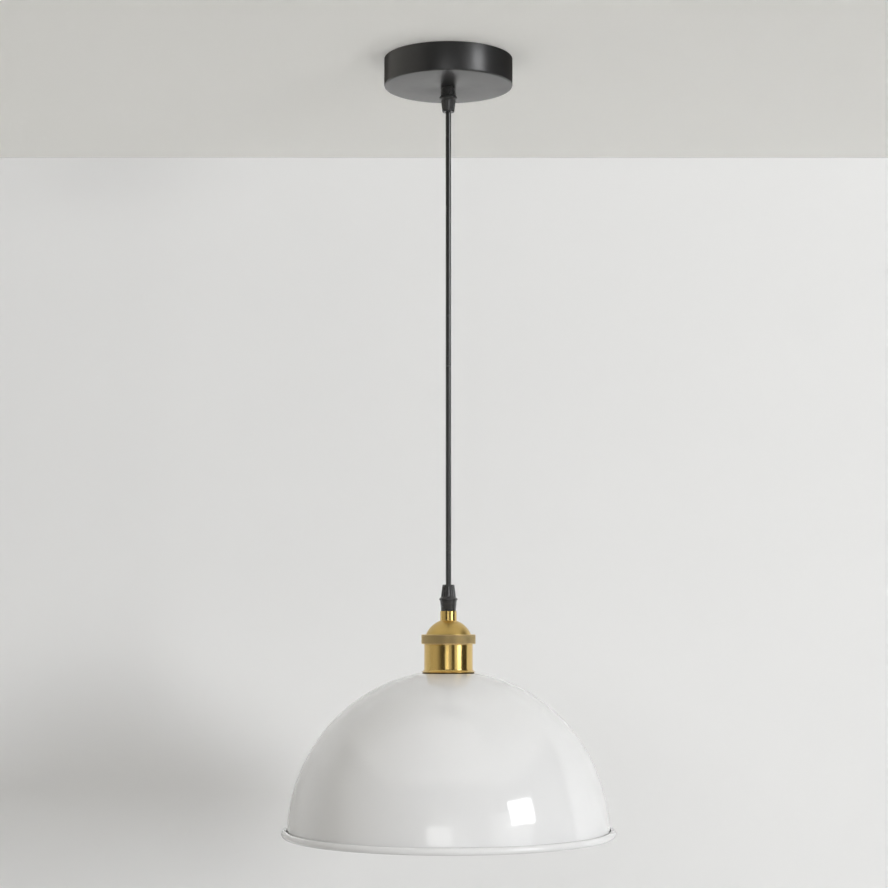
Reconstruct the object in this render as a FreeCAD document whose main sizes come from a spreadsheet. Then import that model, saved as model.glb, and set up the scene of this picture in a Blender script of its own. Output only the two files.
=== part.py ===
import FreeCAD, Part
import math
import os
import re

import Sketcher

# Pendant ceiling light: a black canopy cup on a strap bracket, a straight black cable held by a
# cord grip at each end, a brass screw-shell lampholder and a white enamelled dome shade with a
# rolled rim. Millimetres. The origin is the centre of the canopy's mouth on the ceiling plane,
# +Z is up, and the light hangs towards -Z.

FULL_TURN = 360.0
POLES = 3                     # live, neutral and earth
CORE_NAMES = ("live", "neutral", "earth")

# Driving dimensions: name, millimetres (or degrees), meaning. A "drop" is a distance downwards.
DIMENSIONS = [
    ("cup_radius", 60.0, "canopy cup, outer radius"),
    ("cup_height", 26.7, "canopy cup, height"),
    ("cup_wall", 1.2, "canopy cup, sheet thickness"),
    ("cup_edge", 1.5, "canopy cup, radius of the bottom edge"),
    ("cup_hole", 5.2, "canopy cup, radius of the hole for the nipple"),
    ("strap_reach", 52.0, "bracket, centre to the end of a foot"),
    ("strap_web", 34.0, "bracket, centre to the outside of a web"),
    ("strap_gauge", 2.0, "bracket, sheet thickness"),
    ("strap_width", 22.0, "bracket, width"),
    ("strap_drop", 16.0, "bracket, ceiling to the underside of the bridge"),
    ("slot_centre", 43.0, "bracket, centre to a slot's centre"),
    ("slot_length", 9.0, "bracket, slot end to end"),
    ("slot_radius", 2.25, "bracket, half the slot's width"),
    ("bridge_hole", 5.1, "bracket, radius of the hole for the nipple"),
    ("nipple_radius", 5.0, "threaded nipple M10, outer radius"),
    ("nipple_bore", 3.5, "threaded nipple, bore radius"),
    ("nipple_drop", 9.0, "upper nipple, ceiling to its top end"),
    ("nipple_grip", 7.0, "length of nipple inside a cord grip"),
    ("nipple_neck", 8.5, "length of nipple inside the holder's neck"),
    ("thread_gap", 0.03, "radial gap of a screwed joint"),
    ("nut_radius", 8.08, "lock nut, centre to a corner (14 mm across flats)"),
    ("nut_height", 3.0, "lock nut, height"),
    ("washer_radius", 10.0, "canopy washer, outer radius"),
    ("washer_gauge", 0.8, "canopy washer, thickness"),
    ("grip_base", 6.8, "cord grip, radius at its base"),
    ("grip_waist", 7.75, "cord grip, radius of the body under the flange"),
    ("grip_flange", 8.35, "cord grip, flange radius"),
    ("grip_shoulder", 6.95, "cord grip, radius where the cone starts"),
    ("grip_mouth", 5.5, "cord grip, radius at the mouth"),
    ("grip_body_top", 9.9, "cord grip, height of the body"),
    ("grip_flange_top", 11.3, "cord grip, height of the flange's top"),
    ("grip_cone_foot", 12.6, "cord grip, height of the cone's foot"),
    ("grip_height", 24.1, "cord grip, overall height"),
    ("grip_thread", 5.4, "cord grip, radius of the thread under the nut"),
    ("grip_thread_top", 16.0, "cord grip, height of that thread's end"),
    ("collet_radius", 4.4, "cord grip, collet outer radius"),
    ("collet_top", 21.0, "cord grip, height of the collet's top"),
    ("collet_tip", 3.2, "cord grip, collet outer radius at its top"),
    ("nut_throat", 3.4, "cord grip, radius inside the nut above the collet"),
    ("collet_gap", 0.6, "cord grip, gap along the axis between the collet's cone and the nut's"),
    ("nipple_gap", 0.5, "cord grip, space past the nipple's end"),
    ("cable_radius", 2.5, "cable, outer radius"),
    ("cable_fit", 0.06, "radial gap between cable and collet"),
    ("cable_room", 0.3, "radial gap between cable and a grip's bore"),
    ("cable_top", 8.2, "ceiling to the cable's cut end in the canopy"),
    ("bend_top", 62.7, "ceiling to the upper centre of bending of the cable"),
    ("bend_low", 86.7, "ceiling to the lower centre of bending of the cable"),
    ("bend_gap", 0.3, "gap between two stretches of cable at a centre of bending"),
    ("cable_end", 13.6, "holder top to the cable's cut end in the holder"),
    ("core_radius", 0.95, "insulated core, radius"),
    ("core_ring", 1.15, "cable axis to a core's axis"),
    ("core_bend", 1.5, "insulated core, radius of a bend"),
    ("core_crest", 3.8, "cable's cut end to the top of a core in the canopy"),
    ("core_run", 4.0, "cable's cut end to the first bend of a core in the holder"),
    ("block_near", 11.0, "terminal block, nipple axis to its near face"),
    ("block_depth", 18.0, "terminal block, size along the bracket"),
    ("block_width", 30.0, "terminal block, size across the bracket"),
    ("block_height", 12.0, "terminal block, height"),
    ("pole_pitch", 10.0, "terminal block, pole spacing"),
    ("pole_height", 5.0, "terminal block, height of a pole's axis"),
    ("pole_radius", 2.0, "terminal block, radius of a pole's bore"),
    ("pole_bore", 1.2, "terminal block, bore radius of a brass insert"),
    ("pole_screw", 1.1, "terminal block, screw shank radius"),
    ("pole_head", 1.7, "terminal block, screw head radius"),
    ("pole_screw_inset", 4.0, "terminal block, end face to a screw's axis"),
    ("pole_entry", 3.5, "terminal block, last bend of a core to the near face"),
    ("pole_lap", 5.0, "terminal block, length of a core inside it"),
    ("fixing_radius", 1.5, "block fixing screw, shank radius"),
    ("fixing_head", 2.7, "block fixing screw, head radius"),
    ("fixing_head_height", 2.0, "block fixing screw, head height"),
    ("fixing_length", 11.0, "block fixing screw, length under the head"),
    ("fixing_recess", 5.0, "terminal block, top to the seat of the fixing screw's head"),
    ("earth_reach", 20.0, "nipple axis to the earth screw's axis"),
    ("earth_radius", 1.95, "earth screw, shank radius"),
    ("earth_head", 3.5, "earth screw, head radius"),
    ("earth_head_height", 2.4, "earth screw, head height"),
    ("earth_length", 6.0, "earth screw, length under the head"),
    ("lug_radius", 4.2, "earth lug, ring radius"),
    ("lug_gauge", 0.8, "earth lug, thickness"),
    ("tab_start", 3.0, "earth lug, screw axis to the start of its tab"),
    ("tab_length", 6.3, "earth lug, length of its tab"),
    ("tab_width", 3.2, "earth lug, width of its tab"),
    ("earth_fall", 9.6, "nipple axis to where the earth core bends down"),
    ("earth_fall_drop", 4.2, "top of the earth core to that bend"),
    ("earth_landing", 11.8, "nipple axis to where the earth core meets the lug"),
    ("earth_core_end", 15.2, "nipple axis to the earth core's end"),
    ("screw_gap", 0.05, "radial gap round a plain screw shank"),
    ("holder_drop", 515.4, "ceiling to the holder's top"),
    ("neck_radius", 7.5, "holder cap, neck radius"),
    ("neck_height", 8.7, "holder cap, neck height"),
    ("brass_wall", 1.0, "holder, sheet thickness"),
    ("dome_radius", 22.2, "holder cap, radius of the domed part"),
    ("dome_centre", 29.7, "holder top to the centre of that dome"),
    ("dome_foot", 8.3, "holder cap, radius where the dome starts"),
    ("ring_drop", 21.3, "holder top to the knurled ring's top"),
    ("ring_height", 8.8, "knurled ring, height"),
    ("ring_radius", 24.8, "knurled ring, outer radius"),
    ("skirt_lap", 7.8, "holder cap, length inside the knurled ring"),
    ("sleeve_radius", 22.25, "holder sleeve, outer radius"),
    ("flare_radius", 24.6, "holder sleeve, radius of the flared foot"),
    ("flare_height", 4.3, "holder sleeve, height of the flare"),
    ("flare_lip", 1.3, "holder sleeve, height of the flare's edge"),
    ("sleeve_drop", 56.5, "holder top to the sleeve's foot"),
    ("sleeve_ledge", 52.6, "holder top to the ledge inside the sleeve"),
    ("ledge_bore", 19.7, "holder sleeve, radius inside the ledge"),
    ("core_top", 27.6, "holder top to the porcelain core's top"),
    ("core_outer", 19.2, "porcelain core, radius of its head"),
    ("core_seat", 49.6, "holder top to the shoulder under that head"),
    ("core_tube", 17.2, "porcelain core, outer radius of its tube"),
    ("core_cavity", 14.4, "porcelain core, bore radius"),
    ("core_floor", 42.0, "holder top to the bottom of the bore"),
    ("core_foot", 72.6, "holder top to the porcelain's lower end"),
    ("rivet_hole", 2.0, "porcelain core, radius of the contact's hole"),
    ("shell_radius", 14.0, "screw shell, outer radius"),
    ("shell_wall", 0.4, "screw shell, thickness"),
    ("shell_hole", 6.0, "screw shell, radius of the hole in its end"),
    ("shell_foot", 70.6, "holder top to the screw shell's mouth"),
    ("collar_head", 21.0, "threaded collar, head radius"),
    ("collar_radius", 19.5, "threaded collar, thread radius"),
    ("collar_bore", 17.4, "threaded collar, bore radius"),
    ("collar_foot", 74.6, "holder top to the collar's mouth"),
    ("contact_head", 4.0, "centre contact, button radius"),
    ("contact_button", 1.2, "centre contact, button height"),
    ("rivet_radius", 3.0, "centre contact, radius of the riveted head"),
    ("rivet_head", 1.4, "centre contact, height of the riveted head"),
    ("clamp_reach", 11.5, "holder axis to a terminal's centre"),
    ("clamp_size", 5.0, "holder terminal, size each way"),
    ("clamp_screw", 1.2, "holder terminal, screw radius"),
    ("clamp_head", 1.9, "holder terminal, screw head radius"),
    ("clamp_lap", 1.0, "holder terminal, centre to a core's end"),
    ("shade_radius", 146.0, "shade, outer radius of the dome"),
    ("shade_wall", 0.9, "shade, sheet thickness"),
    ("shade_centre", 715.4, "ceiling to the dome's centre"),
    ("shade_hole", 19.8, "shade, radius of the hole at the top"),
    ("bead_radius", 3.25, "shade, section radius of the rolled rim"),
    ("bead_reach", 148.4, "shade, axis to the centre of the rolled rim"),
    ("nut_ring_radius", 26.0, "shade ring, outer radius"),
    ("nut_ring_height", 8.0, "shade ring, height"),
    ("nut_ring_edge", 1.5, "shade ring, chamfer"),
    ("tip_gap", 0.2, "gap between the contact button and the bulb"),
    ("tip_radius", 4.6, "bulb, contact tip radius"),
    ("tip_height", 2.0, "bulb, contact tip height"),
    ("glass_ring_radius", 9.2, "bulb, radius of the insulator's foot"),
    ("glass_ring_height", 3.0, "bulb, insulator height"),
    ("cap_radius", 13.2, "bulb, cap radius"),
    ("cap_wall", 0.5, "bulb, cap thickness"),
    ("cap_cone", 2.6, "bulb, height of the cap's cone"),
    ("cap_throat", 8.2, "bulb, radius of the hole in the cap's end"),
    ("cap_height", 22.0, "bulb, cap height"),
    ("bulb_length", 106.0, "bulb, overall length"),
    ("globe_radius", 30.0, "bulb, globe radius"),
    ("glass_wall", 0.8, "bulb, glass thickness"),
    ("bulb_neck", 12.5, "bulb, neck radius inside the cap"),
    ("bulb_shoulder", 13.4, "bulb, radius where the glass leaves the cap"),
    ("neck_depth", 8.4, "bulb, length of neck inside the cap"),
    ("shoulder_drop", 1.6, "bulb, cap's end to the shoulder"),
]
SIZE = {name: value for name, value, _ in DIMENSIONS}


def hypotenuse_leg(hypotenuse, leg):
    return math.sqrt(hypotenuse ** 2 - leg ** 2)


def globe_tangent(radius, shoulder):
    """Where the straight side of the bulb meets its globe: radius there and height over centre."""
    rise = SIZE["bulb_length"] - SIZE["globe_radius"] - shoulder_below_tip()
    distance = math.hypot(shoulder, rise)
    lean = math.asin(radius / distance) - math.atan2(shoulder, rise)
    return radius * math.cos(lean), radius * math.sin(lean)


def shoulder_below_tip():
    return sum(SIZE[name] for name in ("tip_height", "glass_ring_height", "cap_height", "shoulder_drop"))


def derived_dimensions():
    """Sizes that follow from the driving ones by a root or an angle, kept in the sheet as well."""
    wall, dome = SIZE["brass_wall"], SIZE["dome_radius"]
    skirt_radius = hypotenuse_leg(dome, SIZE["dome_centre"] - SIZE["ring_drop"])
    neck_bore = SIZE["nipple_radius"] + SIZE["thread_gap"]
    seat = SIZE["shade_centre"] - SIZE["holder_drop"] - SIZE["sleeve_drop"]
    flare_out = SIZE["flare_radius"] - SIZE["sleeve_radius"]
    flare_down = SIZE["flare_height"] - SIZE["flare_lip"]
    globe, inner_globe = SIZE["globe_radius"], SIZE["globe_radius"] - SIZE["glass_wall"]
    shoulder = SIZE["bulb_shoulder"]
    outer = globe_tangent(globe, shoulder)
    inner = globe_tangent(inner_globe, shoulder - SIZE["glass_wall"])
    return [
        ("skirt_radius", skirt_radius, "holder cap, outer radius inside the knurled ring"),
        ("dome_start", SIZE["dome_centre"] - hypotenuse_leg(dome, SIZE["dome_foot"]),
         "holder top to the start of the dome"),
        ("vault_start", SIZE["dome_centre"] - hypotenuse_leg(dome - wall, neck_bore),
         "holder top to the inside of the dome at the neck"),
        ("vault_end", SIZE["dome_centre"] - hypotenuse_leg(dome - wall, skirt_radius - wall),
         "holder top to the inside of the dome at the skirt"),
        ("flare_sweep", (flare_out ** 2 + flare_down ** 2) / (2.0 * flare_out),
         "holder sleeve, radius of the flare's hollow curve"),
        ("seat_height", seat, "dome centre to the flat seat at the shade's top"),
        ("seat_radius", hypotenuse_leg(SIZE["shade_radius"], seat), "shade, radius of that seat"),
        ("seat_inner", hypotenuse_leg(SIZE["shade_radius"] - SIZE["shade_wall"], seat - SIZE["shade_wall"]),
         "shade, radius of the seat's underside"),
        ("tangent_radius", outer[0], "bulb, radius where the globe starts, outside"),
        ("tangent_rise", outer[1], "bulb, globe centre to that place"),
        ("tangent_radius_in", inner[0], "bulb, radius where the globe starts, inside"),
        ("tangent_rise_in", inner[1], "bulb, globe centre to that place, inside"),
    ]


DOC = FreeCAD.newDocument("PendantLight")


def make_sheet():
    """Each dimension in a row of its own: its meaning, its value and its name."""
    sheet = DOC.addObject("Spreadsheet::Sheet", "Dims")
    rows = DIMENSIONS + derived_dimensions()
    for row, (name, value, meaning) in enumerate(rows, 1):
        SIZE[name] = value
        sheet.set(f"A{row}", meaning)
        sheet.set(f"B{row}", repr(float(value)))
        sheet.setAlias(f"B{row}", name)
    DOC.recompute()
    return sheet


SHEET = make_sheet()
NODES = []


def on_sheet(text):
    """The expression for a sum of dimension names, such as "cup_radius - cup_wall"."""
    return re.sub(r"[a-z]\w*", lambda word: "Dims." + word.group(0), text)


def amount(text):
    """The value of such a sum."""
    value = 0.0
    for sign, factor, word in re.findall(r"([+-]?)\s*(?:([\d.]+)\s*\*\s*)?([a-z]\w*|[\d.]+)", text):
        size = SIZE[word] if word in SIZE else float(word)
        value += (-1.0 if sign == "-" else 1.0) * (float(factor) if factor else 1.0) * size
    return value


def place(item, x="0", y="0", z="0", axis=None, turn=0.0):
    """Put an object at sums of dimensions, turned about an axis through its own origin."""
    rotation = FreeCAD.Rotation(FreeCAD.Vector(*(axis or (0, 0, 1))), turn)
    item.Placement = FreeCAD.Placement(FreeCAD.Vector(amount(x), amount(y), amount(z)), rotation)
    for letter, text in (("x", x), ("y", y), ("z", z)):
        if re.search("[a-z]", text):
            item.setExpression(f"Placement.Base.{letter}", on_sheet(text))
    return item


def node(item, name):
    """Name a finished sub-part and put it on the list of sub-parts to write."""
    item.Label = name
    NODES.append(item)
    return item


# --- Turned and pressed pieces ------------------------------------------------------------------

def origin_plane(body, role):
    return next(plane for plane in body.Origin.OriginFeatures if plane.Role == role)


def new_sketch(body, name, role):
    sketch = body.newObject("Sketcher::SketchObject", name)
    sketch.AttachmentSupport = [(origin_plane(body, role), "")]
    sketch.MapMode = "FlatFace"
    return sketch


def arc_edge(start, end, radius, hollow):
    """An arc of the radius from start to end, bulging to the right of the way, or left if hollow."""
    middle = (start + end) * 0.5
    along = end - start
    height = math.sqrt(max(radius ** 2 - (along.Length / 2.0) ** 2, 0.0))
    side = FreeCAD.Vector(-along.y, along.x, 0).normalize() * (-height if hollow else height)
    centre = middle + side
    first, last = (end, start) if hollow else (start, end)
    angles = [math.atan2(point.y - centre.y, point.x - centre.x) for point in (first, last)]
    circle = Part.Circle(centre, FreeCAD.Vector(0, 0, 1), radius)
    return Part.ArcOfCircle(circle, angles[0], angles[1])


def draw_outline(sketch, outline):
    """Closed outline from corners (across, up); a corner's third entry is the arc after it.

    The arc is its radius, with a leading "~" where it is hollow seen from the right of the way.
    Each corner is held by a horizontal and a vertical distance that the sheet drives.
    """
    corners = [FreeCAD.Vector(amount(corner[0]), amount(corner[1]), 0) for corner in outline]
    ends = []
    for index, corner in enumerate(outline):
        start, end = corners[index], corners[(index + 1) % len(corners)]
        if len(corner) > 2:
            hollow = corner[2].startswith("~")
            radius = corner[2].lstrip("~")
            edge = sketch.addGeometry(arc_edge(start, end, amount(radius), hollow), False)
            ends.append((edge, 2, 1) if hollow else (edge, 1, 2))
            held = sketch.addConstraint(Sketcher.Constraint("Radius", edge, amount(radius)))
            sketch.setExpression(f"Constraints[{held}]", on_sheet(radius))
        else:
            edge = sketch.addGeometry(Part.LineSegment(start, end), False)
            ends.append((edge, 1, 2))
    for index, (edge, start, _) in enumerate(ends):
        before, _, last = ends[index - 1]
        sketch.addConstraint(Sketcher.Constraint("Coincident", before, last, edge, start))
        for kind, text in (("DistanceX", outline[index][0]), ("DistanceY", outline[index][1])):
            held = sketch.addConstraint(Sketcher.Constraint(kind, -1, 1, edge, start, amount(text)))
            if re.search("[a-z]", text):
                sketch.setExpression(f"Constraints[{held}]", on_sheet(text))


def turned_body(name, outline):
    """A body turned about the Z axis from its outline (radius, height)."""
    body = DOC.addObject("PartDesign::Body", name)
    sketch = new_sketch(body, name + "_outline", "XZ_Plane")
    draw_outline(sketch, outline)
    turn = body.newObject("PartDesign::Revolution", name + "_turn")
    turn.Profile = sketch
    turn.ReferenceAxis = (sketch, ["V_Axis"])
    turn.Angle = FULL_TURN
    sketch.Visibility = False
    return body


# --- Primitives and booleans --------------------------------------------------------------------

def solid(kind, name, x="0", y="0", z="0", axis=None, turn=0.0, **sizes):
    """A Part primitive whose sizes and place the sheet drives."""
    item = DOC.addObject("Part::" + kind, name)
    for key, text in sizes.items():
        setattr(item, key, amount(text))
        item.setExpression(key, on_sheet(text))
    return place(item, x, y, z, axis, turn)


def cut(name, base, tools):
    """The base less every tool."""
    for index, tool in enumerate(tools):
        result = DOC.addObject("Part::Cut", f"{name}_cut_{index}")
        result.Base, result.Tool = base, tool
        base = result
    return base


def fuse(name, pieces):
    result = DOC.addObject("Part::MultiFuse", name)
    result.Shapes = pieces
    return result


def group(name, pieces):
    """Separate solids that share one node."""
    result = DOC.addObject("Part::Compound", name)
    result.Links = pieces
    return node(result, name)


def rounded_path(points, radius):
    """Straight runs joined by tangent arcs of the radius."""
    edges, start = [], points[0]
    for corner, after in zip(points[1:], points[2:]):
        inward = (start - corner).normalize()
        onward = (after - corner).normalize()
        half = inward.getAngle(onward) / 2.0
        reach = radius / math.tan(half)
        first, last = corner + inward * reach, corner + onward * reach
        bisector = (inward + onward).normalize()
        middle = corner + bisector * (radius / math.sin(half) - radius)
        edges += [Part.LineSegment(start, first).toShape(), Part.Arc(first, middle, last).toShape()]
        start = last
    edges.append(Part.LineSegment(start, points[-1]).toShape())
    return Part.Wire(edges)


def insulated_core(name, points, drop):
    """One insulated core of the cable: a round tube of plastic along its bent path."""
    path = rounded_path(points, SIZE["core_bend"])
    direction = (points[1] - points[0]).normalize()
    ring = Part.Wire(Part.Circle(points[0], direction, SIZE["core_radius"]).toShape())
    item = DOC.addObject("Part::Feature", name)
    item.Shape = path.makePipeShell([ring], True, False)
    item.Placement = FreeCAD.Placement(FreeCAD.Vector(0, 0, -drop), FreeCAD.Rotation())
    return node(item, name)


def polar(radius, degrees, height):
    angle = math.radians(degrees)
    return FreeCAD.Vector(radius * math.cos(angle), radius * math.sin(angle), height)


# --- Canopy -------------------------------------------------------------------------------------

def canopy_cup():
    """Pressed steel cup, open at the ceiling, with one hole in the middle of its floor."""
    body = turned_body("canopy_cup", [
        ("cup_radius", "0"),
        ("cup_radius - cup_wall", "0"),
        ("cup_radius - cup_wall", "cup_edge - cup_height"),
        ("cup_radius - cup_edge", "cup_wall - cup_height"),
        ("cup_hole", "cup_wall - cup_height"),
        ("cup_hole", "-cup_height"),
        ("cup_radius - cup_edge", "-cup_height", "cup_edge"),
        ("cup_radius", "cup_edge - cup_height"),
    ])
    node(body, "canopy_cup")


def mounting_bracket():
    """Top-hat strap: two feet with slots on the ceiling and a bridge that carries the nipple."""
    body = DOC.addObject("PartDesign::Body", "bracket_strap")
    sketch = new_sketch(body, "strap_outline", "XZ_Plane")
    draw_outline(sketch, [
        ("-strap_reach", "0"),
        ("-strap_reach", "-strap_gauge"),
        ("-strap_web", "-strap_gauge"),
        ("-strap_web", "-strap_drop"),
        ("strap_web", "-strap_drop"),
        ("strap_web", "-strap_gauge"),
        ("strap_reach", "-strap_gauge"),
        ("strap_reach", "0"),
        ("strap_web - strap_gauge", "0"),
        ("strap_web - strap_gauge", "strap_gauge - strap_drop"),
        ("strap_gauge - strap_web", "strap_gauge - strap_drop"),
        ("strap_gauge - strap_web", "0"),
    ])
    pad = body.newObject("PartDesign::Pad", "strap")
    pad.Profile = sketch
    pad.Midplane = True
    pad.setExpression("Length", on_sheet("strap_width"))
    node(cut("mounting_bracket", body, slot_tools() + bridge_tools()), "mounting_bracket")


def slot_tools():
    """A slot in each foot: a box with a round end at each side."""
    tools = []
    for index, centre in enumerate(("-slot_centre", "slot_centre")):
        near = centre + " - 0.5 * slot_length + slot_radius"
        far = centre + " + 0.5 * slot_length - slot_radius"
        size = {"z": "-strap_drop", "Height": "strap_drop"}
        run = solid("Box", f"slot_run_{index}", x=near, y="-slot_radius", Width="2 * slot_radius",
                    Length="slot_length - 2 * slot_radius", **size)
        ends = [solid("Cylinder", f"slot_end_{index}_{side}", x=along, Radius="slot_radius", **size)
                for side, along in enumerate((near, far))]
        tools.append(fuse(f"slot_{index}", [run] + ends))
    return tools


def bridge_tools():
    """Holes of the bridge: nipple, earth screw and the terminal block's fixing screw."""
    centre = "block_near + 0.5 * block_depth"
    return [
        solid("Cylinder", "nipple_bore_tool", z="-strap_drop - strap_gauge", Radius="bridge_hole",
              Height="3 * strap_gauge"),
        solid("Cylinder", "earth_bore_tool", x="-earth_reach", z="-strap_drop - strap_gauge",
              Radius="earth_radius + screw_gap", Height="3 * strap_gauge"),
        solid("Cylinder", "fixing_bore_tool", x=centre, y="0.5 * pole_pitch",
              z="-strap_drop - strap_gauge", Radius="fixing_radius + screw_gap",
              Height="3 * strap_gauge"),
    ]


def hollow_nipple(name, length, z):
    body = turned_body(name, [
        ("nipple_bore", "0"), ("nipple_radius", "0"), ("nipple_radius", length), ("nipple_bore", length)])
    node(place(body, z=z), name)


def lock_nuts():
    """Three hexagon nuts: either side of the bridge, and on the washer in the cup's floor."""
    floor = "cup_wall + washer_gauge - cup_height"
    nuts = []
    for index, z in enumerate(("strap_gauge - strap_drop", "-strap_drop - nut_height", floor)):
        blank = solid("Prism", f"nut_{index}", z=z, Circumradius="nut_radius", Height="nut_height")
        blank.Polygon = 6
        bore = solid("Cylinder", f"nut_bore_{index}", z=z, Radius="nipple_radius + thread_gap",
                     Height="nut_height")
        nuts.append(cut(f"nut_{index}", blank, [bore]))
    group("lock_nuts", nuts)


def canopy_washer():
    body = turned_body("canopy_washer", [
        ("bridge_hole", "0"), ("washer_radius", "0"),
        ("washer_radius", "washer_gauge"), ("bridge_hole", "washer_gauge")])
    node(place(body, z="cup_wall - cup_height"), "canopy_washer")


def pan_screw(name, head, head_height, shank, length):
    """Head above the local XY plane, shank below it."""
    return turned_body(name, [
        ("0", head_height), ("0", f"-{length}"), (shank, f"-{length}"), (shank, "0"),
        (head, "0"), (head, head_height)])


def earth_terminal():
    """Ring lug on the bridge under a pan-head screw."""
    floor = "strap_gauge - strap_drop"
    ring = solid("Cylinder", "lug_ring", x="-earth_reach", z=floor, Radius="lug_radius",
                 Height="lug_gauge")
    tab = solid("Box", "lug_tab", x="tab_start - earth_reach", y="-0.5 * tab_width", z=floor, Length="tab_length",
                Width="tab_width", Height="lug_gauge")
    hole = solid("Cylinder", "lug_hole", x="-earth_reach", z=floor,
                 Radius="earth_radius + screw_gap", Height="lug_gauge")
    node(cut("earth_lug", fuse("lug_blank", [ring, tab]), [hole]), "earth_lug")
    screw = pan_screw("earth_screw", "earth_head", "earth_head_height", "earth_radius", "earth_length")
    node(place(screw, x="-earth_reach", z=floor + " + lug_gauge"), "earth_screw")


def pole_offset(index):
    return ("-pole_pitch", "0", "pole_pitch")[index]


def terminal_block():
    """Three-pole block on the bridge: housing, brass inserts, clamping screws, fixing screw."""
    floor = "strap_gauge - strap_drop"
    axis_height = floor + " + pole_height"
    top = floor + " + block_height"
    screws_x = ("block_near + pole_screw_inset", "block_near + block_depth - pole_screw_inset")
    housing_tools, inserts, screws = [], [], []
    for pole in range(POLES):
        across = pole_offset(pole)
        lying = {"x": "block_near", "y": across, "z": axis_height, "axis": (0, 1, 0), "turn": 90.0}
        housing_tools.append(solid("Cylinder", f"pole_{pole}", Radius="pole_radius",
                                   Height="block_depth", **lying))
        insert = solid("Cylinder", f"insert_{pole}", Radius="pole_radius", Height="block_depth", **lying)
        insert_tools = [solid("Cylinder", f"insert_bore_{pole}", Radius="pole_bore",
                              Height="block_depth", **lying)]
        for side, along in enumerate(screws_x):
            tag = f"{pole}_{side}"
            housing_tools.append(solid("Cylinder", f"well_{tag}", x=along, y=across, z=axis_height,
                                       Radius="pole_head + screw_gap", Height="block_height"))
            insert_tools.append(solid("Cylinder", f"tapping_{tag}", x=along, y=across, z=axis_height,
                                      Radius="pole_screw + screw_gap", Height="2 * pole_radius"))
            shank = solid("Cylinder", f"shank_{tag}", x=along, y=across,
                          z=axis_height + " + core_radius", Radius="pole_screw", Height="2 * core_radius")
            head = solid("Cylinder", f"head_{tag}", x=along, y=across,
                         z=axis_height + " + 3 * core_radius", Radius="pole_head", Height="2.5 * core_radius")
            screws.append(fuse(f"pole_screw_{tag}", [shank, head]))
        inserts.append(cut(f"insert_{pole}", insert, insert_tools))
    middle = "block_near + 0.5 * block_depth"
    between = "0.5 * pole_pitch"
    housing_tools.append(solid("Cylinder", "fixing_hole", x=middle, y=between, z=floor,
                               Radius="fixing_radius + screw_gap", Height="block_height"))
    housing_tools.append(solid("Cylinder", "fixing_recess", x=middle, y=between,
                               z=top + " - fixing_recess", Radius="fixing_head + screw_gap",
                               Height="fixing_recess + screw_gap"))
    housing = solid("Box", "block", x="block_near", y="-0.5 * block_width", z=floor,
                    Length="block_depth", Width="block_width", Height="block_height")
    node(cut("terminal_block", housing, housing_tools), "terminal_block")
    group("terminal_inserts", inserts)
    group("terminal_screws", screws)
    fixing = pan_screw("block_fixing_screw", "fixing_head", "fixing_head_height", "fixing_radius",
                       "fixing_length")
    node(place(fixing, x=middle, y=between, z=top + " - fixing_recess"), "block_fixing_screw")


def canopy_cores():
    """The cable's three cores fan out over the nipple's end to the block and to the earth lug."""
    top = -SIZE["cable_top"]
    crest = top + SIZE["core_crest"]
    bridge = SIZE["strap_gauge"] - SIZE["strap_drop"]
    pole_z = bridge + SIZE["pole_height"]
    lug_z = bridge + SIZE["lug_gauge"] + SIZE["core_radius"] + SIZE["screw_gap"]
    outside, inside = SIZE["block_near"] - SIZE["pole_entry"], SIZE["block_near"] + SIZE["pole_lap"]
    ends = {
        "live": (60.0, [(outside, SIZE["pole_pitch"], pole_z), (inside, SIZE["pole_pitch"], pole_z)]),
        "neutral": (-60.0, [(outside, -SIZE["pole_pitch"], pole_z), (inside, -SIZE["pole_pitch"], pole_z)]),
        "earth": (180.0, [(-SIZE["earth_fall"], 0, crest - SIZE["earth_fall_drop"]),
                          (-SIZE["earth_landing"], 0, lug_z), (-SIZE["earth_core_end"], 0, lug_z)]),
    }
    for name, (angle, run) in ends.items():
        points = [polar(SIZE["core_ring"], angle, top), polar(SIZE["core_ring"], angle, crest)]
        points += [FreeCAD.Vector(*point) for point in run]
        insulated_core("canopy_core_" + name, points, 0.0)


# --- Cord grip ----------------------------------------------------------------------------------

def cord_grip(prefix, z, inverted):
    """Plastic cord grip: threaded body, conical nut and the collet that the nut squeezes."""
    turn = 180.0 if inverted else 0.0
    bore = "cable_radius + cable_room"
    body = turned_body(prefix + "_grip_body", [
        ("nipple_radius + thread_gap", "0"),
        ("grip_base", "0"),
        ("grip_waist", "grip_body_top"),
        ("grip_thread", "grip_body_top"),
        ("grip_thread", "grip_thread_top"),
        (bore, "grip_thread_top"),
        (bore, "nipple_grip + nipple_gap"),
        ("nipple_radius + thread_gap", "nipple_grip + nipple_gap"),
    ])
    nut = turned_body(prefix + "_grip_nut", [
        ("grip_thread + thread_gap", "grip_body_top"),
        ("grip_flange", "grip_body_top"),
        ("grip_flange", "grip_flange_top"),
        ("grip_shoulder", "grip_cone_foot"),
        ("grip_mouth", "grip_height"),
        (bore, "grip_height"),
        (bore, "collet_top + collet_gap"),
        ("nut_throat", "collet_top + collet_gap"),
        ("grip_thread + thread_gap", "grip_thread_top + collet_gap"),
    ])
    collet = turned_body(prefix + "_grip_collet", [
        ("cable_radius + cable_fit", "grip_thread_top + screw_gap"),
        ("collet_radius", "grip_thread_top + screw_gap"),
        ("collet_tip", "collet_top"),
        ("cable_radius + cable_fit", "collet_top"),
    ])
    for body_part, name in ((body, "body"), (nut, "nut"), (collet, "collet")):
        node(place(body_part, z=z, axis=(1, 0, 0), turn=turn), f"{prefix}_grip_{name}")


# --- Cable --------------------------------------------------------------------------------------

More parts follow.
